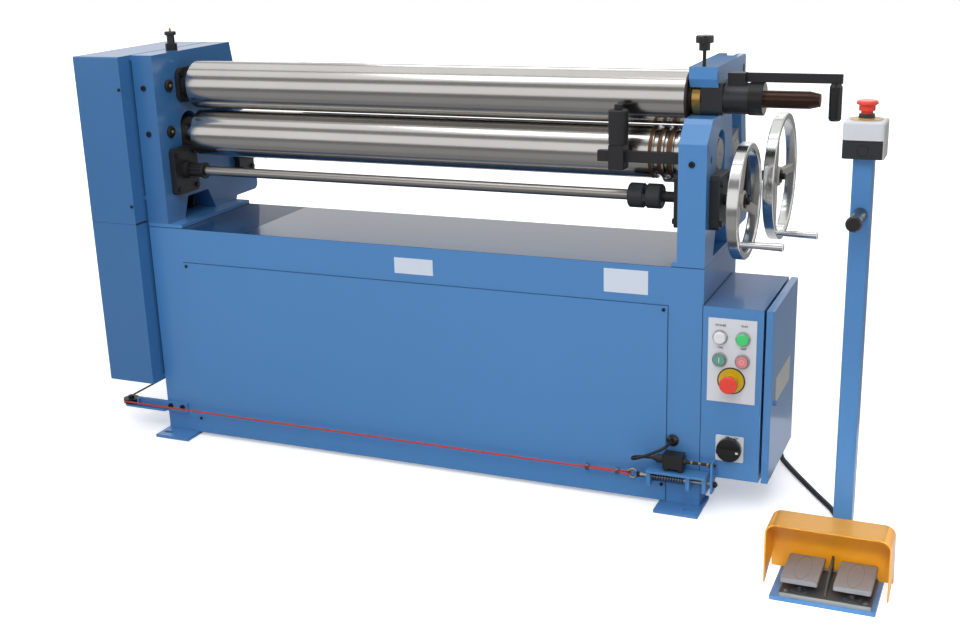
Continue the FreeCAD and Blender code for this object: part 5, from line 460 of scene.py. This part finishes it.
CLAMP_FOOT, CLAMP_TOP, CLAMP_EDGE = 0.0690, 0.0830, 0.0022
clamp_zinc = finish("clamp_zinc", (0.42, 0.41, 0.38), 0.32, metallic=1.0, mottle=0.12, mottle_size=60,
                    bump=0.1)
for index, x in enumerate((0.545, 0.471)):
    block("rope_clamp_%d" % index, (x - 0.0042, -0.1848, CLAMP_FOOT), (x + 0.0042, -0.1722, CLAMP_TOP),
          "rope_tension", clamp_zinc, CLAMP_EDGE)
    clamp_bolt("clamp_bolt_%d" % index, (x, -0.1858, 0.0795), "rope_tension", clamp_zinc)
block("rope_clamp_rear", (-0.8778, 0.0918, CLAMP_FOOT), (-0.8650, 0.1002, CLAMP_TOP), "machine",
      clamp_zinc, CLAMP_EDGE)

# --- bench, end frames and covers: folded and cast steel in gloss blue enamel, sprayed with a faint
# orange peel. The frames are bolted on the bench and the gear cover hangs on the left one. The bed's top
# is painted a darker blue as shade, and the cast left frame and its cover a deeper blue as painted shade.
BLUE = (0.070, 0.230, 0.510)
ENAMEL = dict(coat=0.4, mottle=0.035, mottle_size=2.5, grain=(260, 260, 260), bump=0.035,
              rough_spread=0.04)
BED_TOP = ("Z", 0.5712, 0.5735)
PULLEY_PIN = [(("Z", PULLEY_X, PULLEY_Y), 0, 0.0095), ("Z", 0.0805, 0.0910)]


def dress(material, *nodes):
    """Give the material to model nodes whose shape is right as it is."""
    for name in nodes:
        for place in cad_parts[name].material_slots:
            place.material = material


blue_enamel = finish("blue_enamel", BLUE, 0.30, **ENAMEL)
dress(blue_enamel, "front_access_panel", "foot_plates", "right_end_frame", "tension_bracket",
      "control_door", "top_latch")
# The bed's top face: a darker blue painted in as shade, rougher at the left end.
bed_enamel = finish("bed_enamel", BLUE, 0.30, **ENAMEL, zones=[
    ([BED_TOP, ("X", -0.45, 0.9)], (0.006, 0.050, 0.140), 0.24, 0.0),
    ([BED_TOP, ("X", -0.9, -0.45)], (0.004, 0.045, 0.135), 0.60, 0.0)])
dress(bed_enamel, "base_cabinet")
# The left frame and gear cover: the bench's blue darkened as painted shade at the machine's left end.
left_shade_enamel = finish("left_shade_enamel", (0.043, 0.160, 0.377), 0.30, **ENAMEL)
dress(left_shade_enamel, "left_end_frame", "gear_cover")
bracket_enamel = finish("bracket_enamel", BLUE, 0.30, coat=0.4, mottle=0.035, mottle_size=2.5, bump=0.035,
                        zones=[(PULLEY_PIN, (0.02, 0.02, 0.02), 0.4, 0.4)])
dress(bracket_enamel, "rope_brackets")

# --- seams: thin dark strips in the joints, about a millimetre proud, that paint the shade in the gaps
# between the parts. Those round the front panel are a dark blue. Those at the control box's left edge and
# on top, and the short one on the gear cover's side, are black.
gap_shade_black = finish("gap_shade_black", (0.012, 0.014, 0.018), 0.6, bump=0.05)
gap_shade_blue = finish("gap_shade_blue", (0.025, 0.080, 0.18), 0.5, bump=0.05)
for name, low, high, material in (
        ("panel_gap_shade_top", (-0.6383, -0.1600, 0.4820), (0.6563, -0.1589, 0.4833), gap_shade_blue),
        ("panel_gap_shade_left", (-0.6383, -0.1600, 0.0100), (-0.6370, -0.1589, 0.4820), gap_shade_blue),
        ("panel_gap_shade_right", (0.6550, -0.1600, 0.0100), (0.6563, -0.1589, 0.4820), gap_shade_blue),
        ("box_gap_shade_front", (0.7333, -0.1600, 0.0880), (0.7355, -0.1589, 0.4910), gap_shade_black),
        ("box_gap_shade_top", (0.7349, -0.1610, 0.4909), (0.7366, 0.1200, 0.4921), gap_shade_black),
        ("cover_gap_shade", (-0.7405, -0.2046, 0.5840), (-0.7395, -0.1600, 0.5882), gap_shade_black)):
    block(name, low, high, "machine", material)

# --- blank plates: thin white name and data plates on the bench front, with a fine grey line inside
# their edge, and a plain plate on the door's side, painted grey as shade. They are glued on and carry
# nothing.
LINE_WIDTH = 0.0009
plate_white = finish("plate_white", (0.62, 0.68, 0.78), 0.38, mottle=0.03, bump=0.02)
# The door's plate: grey painted in as the shade on the door's side.
plate_shade_grey = finish("plate_shade_grey", (0.50, 0.49, 0.46), 0.42, mottle=0.04, bump=0.02)
border_grey = finish("border_grey", (0.30, 0.40, 0.55), 0.45, bump=0.0)
for name, low, high, body, material, border in (
        ("name_plate", (-0.022, -0.1596, 0.504), (0.080, -0.1590, 0.543), "machine", plate_white, 0.0016),
        ("data_plate", (0.506, -0.1596, 0.503), (0.609, -0.1590, 0.558), "machine", plate_white, 0.0024),
        ("door_plate", (0.8904, -0.110, 0.262), (0.8909, 0.057, 0.322), "door", plate_shade_grey, 0.0)):
    plate = block(name, low, high, body, material)
    if border:
        plate.data.materials.append(border_grey)
        bpy.ops.object.mode_set(mode="EDIT")
        shape = bmesh.from_edit_mesh(plate.data)
        for face in shape.faces:
            face.select_set(face.normal.y < -0.9)
        bmesh.update_edit_mesh(plate.data)
        for inset, slot_index in ((border, 1), (LINE_WIDTH, 0)):
            bpy.ops.mesh.inset(thickness=inset, depth=0)
            plate.active_material_index = slot_index
            bpy.ops.object.material_slot_assign()
        bpy.ops.object.mode_set(mode="OBJECT")

# --- rolls: three ground steel cylinders, 120 mm across. Grinding leaves fine rings round them, and each
# has a soft oil film. The lower roll has three wire grooves. The top roll's right end is a blackened
# collar with a brown hardened tail.
STEEL = (0.60, 0.585, 0.56)
BLACKED = (0.016, 0.016, 0.018)
ROLL_END, COLLAR_START, COLLAR_END = 0.664, 0.6949, 0.8275
GROUND = dict(metallic=1.0, mottle=0.08, mottle_size=5, grain=(700, 3, 3), bump=0.010, rough_spread=0.05)
top_roll_steel = finish("top_roll_steel", STEEL, 0.18, **GROUND, zones=[
    ([("X", ROLL_END, COLLAR_START)], (0.05, 0.04, 0.035), 0.38, 0.6),
    ([("X", COLLAR_START, COLLAR_END)], BLACKED, 0.38, 0.4),
    ([("X", COLLAR_END, 1.2)], (0.045, 0.022, 0.014), 0.25, 0.7)])
dress(top_roll_steel, "top_roll")
grooved_roll = finish("grooved_roll", STEEL, 0.18, **GROUND, zones=[
    ([("X", x - width / 2, x + width / 2)], (0.16, 0.085, 0.045), 0.42, 0.8)
    for x, width in ((0.589, 0.009), (0.609, 0.012), (0.632, 0.015))])
dress(grooved_roll, "lower_roll")
ground_roll = finish("ground_roll", STEEL, 0.18, **GROUND)
dress(ground_roll, "rear_roll")

# --- bearings and drives: cast iron flanges and boxes, blackened by hot oil, and turned brass.
# They are bolted to the end frames with socket screws of the same black. Two grease caps are brass, and
# the pedals' pin and base screws are plated.
BRASS = (0.52, 0.32, 0.10)
PLATED = (0.55, 0.54, 0.52)
CAST_IRON = dict(mottle=0.15, grain=(500, 500, 500), bump=0.12)
black_iron = finish("black_iron", (0.022, 0.022, 0.024), 0.48, metallic=0.25, **CAST_IRON)
dress(black_iron, "top_left_bearing", "worm_boxes", "cone_bar", "cone_block", "lift_handle")
bearing_iron = finish("bearing_iron", (0.030, 0.030, 0.032), 0.45, metallic=0.3, **CAST_IRON, zones=[
    ([("X", 0.700, 0.74)], (0.46, 0.44, 0.41), 0.42, 0.7)])
dress(bearing_iron, "lower_roll_blocks", "rear_roll_blocks")
fastener_black = finish("fastener_black", (0.020, 0.020, 0.022), 0.40, metallic=0.5, mottle=0.15,
                        bump=0.06, zones=[
    ([(("X", -0.101, 0.930), 0, 0.0045), ("X", -0.674, -0.60)], BRASS, 0.35, 0.9),
    ([(("X", -0.110, 0.814), 0, 0.0045), ("X", -0.674, -0.60)], BRASS, 0.35, 0.9),
    ([(("X", -0.403, 0.027), 0, 0.0045), ("X", 0.95, 1.20)], PLATED, 0.28, 1.0),
    ([("Z", 0.0165, 0.0205), ("Y", -0.52, -0.47)], PLATED, 0.28, 1.0)])
dress(fastener_black, "fasteners_and_pins")
black_oxide = finish("black_oxide", (0.040, 0.041, 0.045), 0.34, metallic=0.5, mottle=0.10,
                     grain=(1200, 8, 8), bump=0.03)
dress(black_oxide, "top_roll_carrier")
turned_brass = finish("turned_brass", BRASS, 0.28, metallic=1.0, mottle=0.08, grain=(1100, 9, 9), bump=0.03)
dress(turned_brass, "top_roll_bush")
gear_steel = finish("gear_steel", (0.22, 0.22, 0.23), 0.40, metallic=0.9, mottle=0.1, bump=0.1)
dress(gear_steel, "top_roll_gear", "lower_roll_gear", "drive_pinion", "drive_sprocket")
motor_grey = finish("motor_grey", (0.12, 0.14, 0.15), 0.45, coat=0.1, mottle=0.05, bump=0.1)
dress(motor_grey, "geared_motor")

# --- cross shafts and handwheels: ground shafts with black couplings and ribbed hubs, and cast wheels
# with a polished flat rim, a black cap screw in the hub and a bright turning grip.
shaft_steel = finish("shaft_steel", (0.42, 0.40, 0.38), 0.30, metallic=1.0, mottle=0.06,
                     grain=(900, 8, 8), bump=0.02, zones=[
    ([("X", 0.540, 0.621)], (0.035, 0.036, 0.040), 0.42, 0.3),
    ([("X", 0.621, 0.80)], (0.020, 0.020, 0.022), 0.42, 0.4),
    ([("X", -0.645, -0.594)], (0.020, 0.020, 0.022), 0.42, 0.4)])
dress(shaft_steel, "front_cross_shaft", "rear_cross_shaft")
CAST = (0.40, 0.38, 0.35)
CAP_SCREW_R = 0.0165
POLISH = dict(metallic=1.0, mottle=0.03, mottle_size=20, grain=(60, 60, 60), bump=0.02, rough_spread=0.04)
for wheel, centre, inside_rim, hub_face in (("front_handwheel", ("X", -0.079, 0.711), 0.1115, 0.8021),
                                            ("rear_handwheel", ("X", 0.213, 0.711), 0.1335, 0.8241)):
    wheel_metal = finish(wheel + "_metal", (0.72, 0.72, 0.71), 0.17, **POLISH, zones=[
        ([(centre, 0, inside_rim)], CAST, 0.42, 0.55),
        ([(centre, 0, CAP_SCREW_R), ("X", hub_face, 1)], (0.012, 0.012, 0.013), 0.35, 0.4)])
    dress(wheel_metal, wheel)
polished = finish("polished_chrome", (0.80, 0.80, 0.80), 0.12, **POLISH)
dress(polished, "front_crank_grip", "rear_crank_grip")

# --- knobs, grips and glands: black phenolic resin and plastic, pressed in polished moulds. The left knob
# has a brass grease nipple on top.
resin = finish("black_resin", (0.010, 0.010, 0.011), 0.22, coat=0.3, mottle=0.1, bump=0.02,
               zones=[([("Z", 1.0603, 1.075), ("X", -0.8, -0.6)], BRASS, 0.30, 1.0)])
dress(resin, "latch_knob", "left_knob", "lift_handle_grip", "isolator_knob", "cable_glands")

# --- control box: folded enamelled box with a zinc mounting plate and the drive's devices inside.
# Its front carries a white plate with lamps and buttons and, below, the isolator's plate. The top sheet
# is painted a darker blue as shade.
# The top sheet: a darker, duller blue painted in as shade.
box_enamel = finish("box_enamel", BLUE, 0.30, **ENAMEL, zones=[
    ([("Z", 0.4905, 0.4925)], (0.030, 0.130, 0.33), 0.5, 0.0)])
dress(box_enamel, "control_box")
device_casing = finish("device_casing", (0.30, 0.31, 0.32), 0.42, mottle=0.05, bump=0.03, zones=[
    ([("X", 0.7370, 0.7445)], (0.55, 0.55, 0.54), 0.35, 0.9),
    ([("X", 0.7445, 0.7512)], (0.45, 0.45, 0.44), 0.35, 0.9),
    ([("Z", 0.100, 0.300), ("X", 0.7512, 0.81)], (0.10, 0.30, 0.14), 0.40, 0.0)])
dress(device_casing, "control_devices")
RING_METAL = (0.42, 0.42, 0.41)
COLUMN_LEFT, COLUMN_RIGHT, LAMPS_Z, BUTTONS_Z = 0.775, 0.8255, 0.423, 0.3715
STOP_DISC, DISC_R, PLATE_FACE_Y = ("Y", 0.802, 0.324), 0.0282, -0.1642
white_plate = finish("white_plate", (0.66, 0.68, 0.72), 0.35, mottle=0.03, bump=0.03, zones=[
    ([(("Y", x, BUTTONS_Z), 0, 0.0175), ("Y", -0.18, PLATE_FACE_Y)], RING_METAL, 0.30, 0.8)
    for x in (COLUMN_LEFT, COLUMN_RIGHT)] + [
    ([(STOP_DISC, 0, DISC_R), ("Y", -0.185, PLATE_FACE_Y)], (0.62, 0.43, 0.012), 0.35, 0.0),
    ([(STOP_DISC, DISC_R, 0.033), ("Y", -0.185, PLATE_FACE_Y)], (0.02, 0.02, 0.02), 0.40, 0.0)])
dress(white_plate, "control_plates")
lens = finish("lamp_lens", (0.74, 0.75, 0.76), 0.16, coat=0.5, mottle=0.02, zones=[
    ([("X", 0.80, 0.86)], (0.06, 0.62, 0.17), 0.16, 0.0)] + [
    ([(("Y", x, LAMPS_Z), 0.0138, 0.02)], RING_METAL, 0.30, 0.8) for x in (COLUMN_LEFT, COLUMN_RIGHT)])
dress(lens, "indicator_lamps")
green_cap = finish("green_cap", (0.12, 0.33, 0.25), 0.25, coat=0.3, mottle=0.04)
dress(green_cap, "start_button")
pale_red_cap = finish("pale_red_cap", (0.72, 0.24, 0.25), 0.25, coat=0.3, mottle=0.04)
dress(pale_red_cap, "stop_button")
stop_red = finish("stop_red", (0.80, 0.055, 0.032), 0.28, coat=0.3, mottle=0.04,
                  zones=[([("Z", 0.80, 0.8872)], (0.02, 0.02, 0.02), 0.35, 0.0)])
dress(stop_red, "panel_stop_button", "post_stop_button")

# --- panel marks: moulded I and O on the press buttons, printed words under the lamps, and OFF and ON on
# the isolator's plate. They stand a few tenths of a millimetre proud. The isolator has a white pointer,
# and the door's lock a slot painted dark as the shade inside it.
BUTTON_FACE_Y, ISOLATOR_FACE_Y = -0.1731, -0.1657


def lettering(name, words, place, size, body, material, thick=0.0002):
    """Printed words that face the operator, centred on a place and a little bold."""
    bpy.ops.object.select_all(action="DESELECT")
    bpy.ops.object.text_add(location=place, rotation=(math.radians(90), 0, 0))
    print_run = bpy.context.object
    print_run.name = name
    print_run.data.body = words
    print_run.data.size = size
    print_run.data.extrude = thick
    print_run.data.offset = thick / 4
    print_run.data.align_x, print_run.data.align_y = "CENTER", "CENTER"
    bpy.ops.object.convert(target="MESH")
    bpy.ops.object.transform_apply(location=True, rotation=True, scale=True)
    print_run.data.materials.append(material)
    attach(print_run, body)


print_black = finish("print_black", (0.03, 0.03, 0.035), 0.5, bump=0.0)
mark_pale = finish("mark_pale", (0.62, 0.72, 0.68), 0.35, bump=0.0)
mark_rose = finish("mark_rose", (0.85, 0.42, 0.42), 0.35, bump=0.0)
for words, x, z in (("POWER", 0.7755, 0.4500), ("RUN", 0.8275, 0.4520), ("ON", 0.7760, 0.3985),
                    ("OFF", 0.8270, 0.4000)):
    lettering("word_" + words.lower(), words, (x, PLATE_FACE_Y, z), 0.0068, "machine", print_black)
lettering("mark_start", "I", (COLUMN_LEFT, BUTTON_FACE_Y, BUTTONS_Z), 0.0170, "start_button", mark_pale)
lettering("mark_stop", "O", (COLUMN_RIGHT, BUTTON_FACE_Y, BUTTONS_Z), 0.0150, "stop_button", mark_rose)
for index, words, x, z, size in ((0, "OFF", 0.7975, 0.1893, 0.0052), (1, "ON", 0.8175, 0.1885, 0.0056)):
    lettering("isolator_mark_%d" % index, words, (x, ISOLATOR_FACE_Y, z), size, "machine", print_black,
              0.0004)
pointer_white = finish("pointer_white", (0.75, 0.75, 0.74), 0.4, bump=0.0)
block("isolator_pointer", (0.8205, -0.1882, 0.1597), (0.8262, -0.1870, 0.1640), "isolator", pointer_white)
slot_painted_shade = finish("slot_painted_shade", (0.01, 0.01, 0.01), 0.5, bump=0.0)
# The lock's slot: a thin black patch painted as the shade in its recess.
block("lock_slot", (0.8953, -0.1266, 0.2640), (0.8956, -0.1254, 0.2720), "door", slot_painted_shade)

# --- rope switch and its tackle: a zinc plated eye bolt with a blue yoke plate and black nuts, the switch's
# dark rod with brass rings, a moulded black switch and pulley, and a blackened coil spring.
ROD_HEIGHT = ("Z", 0.105, 0.14)
NUT_BLACK = (0.02, 0.02, 0.02)
eye_zinc = finish("eye_zinc", (0.50, 0.47, 0.40), 0.30, metallic=1.0, mottle=0.12, mottle_size=60,
                  bump=0.1, zones=[
    ([("X", 0.7665, 0.7722)], BLUE, 0.30, 0.0),
    ([("X", 0.7722, 0.79)], NUT_BLACK, 0.4, 0.4),
    ([("X", 0.5925, 0.601), ("Z", 0.06, 0.10)], NUT_BLACK, 0.4, 0.4),
    ([("X", 0.60, 0.7665), ROD_HEIGHT], (0.03, 0.03, 0.032), 0.35, 0.5)] + [
    ([("X", left, right), ROD_HEIGHT], BRASS, 0.30, 0.9)
    for left, right in ((0.7190, 0.7230), (0.7370, 0.7420), (0.7560, 0.7600))])
dress(eye_zinc, "rope_eye_bolt")
switch_black = finish("switch_black", (0.016, 0.016, 0.017), 0.45, mottle=0.1, bump=0.12)
dress(switch_black, "limit_switch", "rope_pulley")
spring_black = finish("spring_steel", (0.05, 0.05, 0.055), 0.35, metallic=0.8, mottle=0.1, bump=0.05)
SPRING_LEFT, SPRING_RIGHT, SPRING_TURNS, COIL_R, WIRE_R = 0.6291, 0.7039, 12, 0.009, 0.00098
TURN_STEPS = 32
coil_points = []
for step in range(SPRING_TURNS * TURN_STEPS + 1):
    turn = 2 * math.pi * step / TURN_STEPS
    along = SPRING_LEFT + (SPRING_RIGHT - SPRING_LEFT) * step / (SPRING_TURNS * TURN_STEPS)
    coil_points.append(Vector((along, ROPE_Y + COIL_R * math.sin(turn), ROPE_Z - COIL_R * math.cos(turn))))
spring = tube("coil_spring", coil_points, lambda gone, angle: WIRE_R, 10)
spring.data.materials.append(spring_black)
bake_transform(spring)
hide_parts("tension_spring")

# --- foot control: grey cast pedals on a cast base, under a bent steel hood in orange-yellow enamel.
# The post is a square tube in the bench's blue. Its stop station has a pale lid, a dark lower half and a
# yellow disc. An oval line is cast into each pedal, drawn as a dark ring that paints the shade at its edge,
# and a round knock-out into the station's front.
stand_enamel = finish("stand_enamel", BLUE, 0.30, **ENAMEL, zones=[
    ([("Z", 0.70, 0.82), ("Y", -0.60, -0.3485)], (0.012, 0.012, 0.013), 0.35, 0.0)])
dress(stand_enamel, "foot_stand")
PEDAL_CASTING = dict(mottle_size=30, grain=(350, 350, 350), bump=0.2)
cast_grey = finish("cast_grey", (0.25, 0.26, 0.28), 0.50, metallic=0.2, mottle=0.10, **PEDAL_CASTING)
dress(cast_grey, "left_pedal", "right_pedal")
base_grey = finish("base_grey", (0.080, 0.083, 0.088), 0.45, metallic=0.3, mottle=0.12, **PEDAL_CASTING,
                   zones=[([("Y", -0.514, -0.5085)], (0.30, 0.32, 0.31), 0.45, 0.3)])
dress(base_grey, "pedal_base")
hood_yellow = finish("hood_yellow", (0.88, 0.37, 0.014), 0.32, coat=0.35, mottle=0.04, mottle_size=6,
                     grain=(300, 300, 300), bump=0.04,
                     zones=[([("Z", 0.1445, 0.1475)], (0.54, 0.25, 0.010), 0.36, 0.0)])
dress(hood_yellow, "pedal_hood")
station = finish("station_plastic", (0.020, 0.022, 0.026), 0.38, mottle=0.06, bump=0.06, zones=[
    ([("Z", 0.9015, 0.9372)], (0.60, 0.62, 0.66), 0.38, 0.0),
    ([("X", 1.1140, 1.13), ("Z", 0.86, 0.9372)], (0.58, 0.57, 0.55), 0.38, 0.0),
    ([("Z", 0.9372, 0.9394)], (0.56, 0.33, 0.10), 0.34, 0.0)])
dress(station, "station_box")


def fine_line(name, place, tilt, radius, steps, squeeze, body, material):
    """Fine raised line on a face, 1.2 mm thick: a ring, squeezed where the line is an oval."""
    bpy.ops.object.select_all(action="DESELECT")
    bpy.ops.mesh.primitive_torus_add(location=place, rotation=(tilt, 0, 0), major_segments=steps,
                                     minor_segments=8, major_radius=radius, minor_radius=0.0006)
    line = bpy.context.object
    line.name = name
    line.scale = squeeze
    bpy.ops.object.transform_apply(location=True, rotation=True, scale=True)
    bpy.ops.object.shade_smooth()
    line.data.materials.append(material)
    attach(line, body)


# The pedals' oval lines: dark rings painted as the shade along the cast oval's edge.
oval_line_shade = finish("oval_line_shade", (0.05, 0.045, 0.045), 0.6, bump=0.0)
for side, x in (("left", 1.0205), ("right", 1.123)):
    fine_line(side + "_pedal_line", (x, -0.449, 0.0480), 0, 0.050, 64, (0.31, 1, 0.5), side + "_pedal",
              oval_line_shade)
fine_line("station_knock_out", (1.078, -0.365, 0.884), math.radians(90), 0.0095, 48, (1, 1, 1), "machine",
          station)
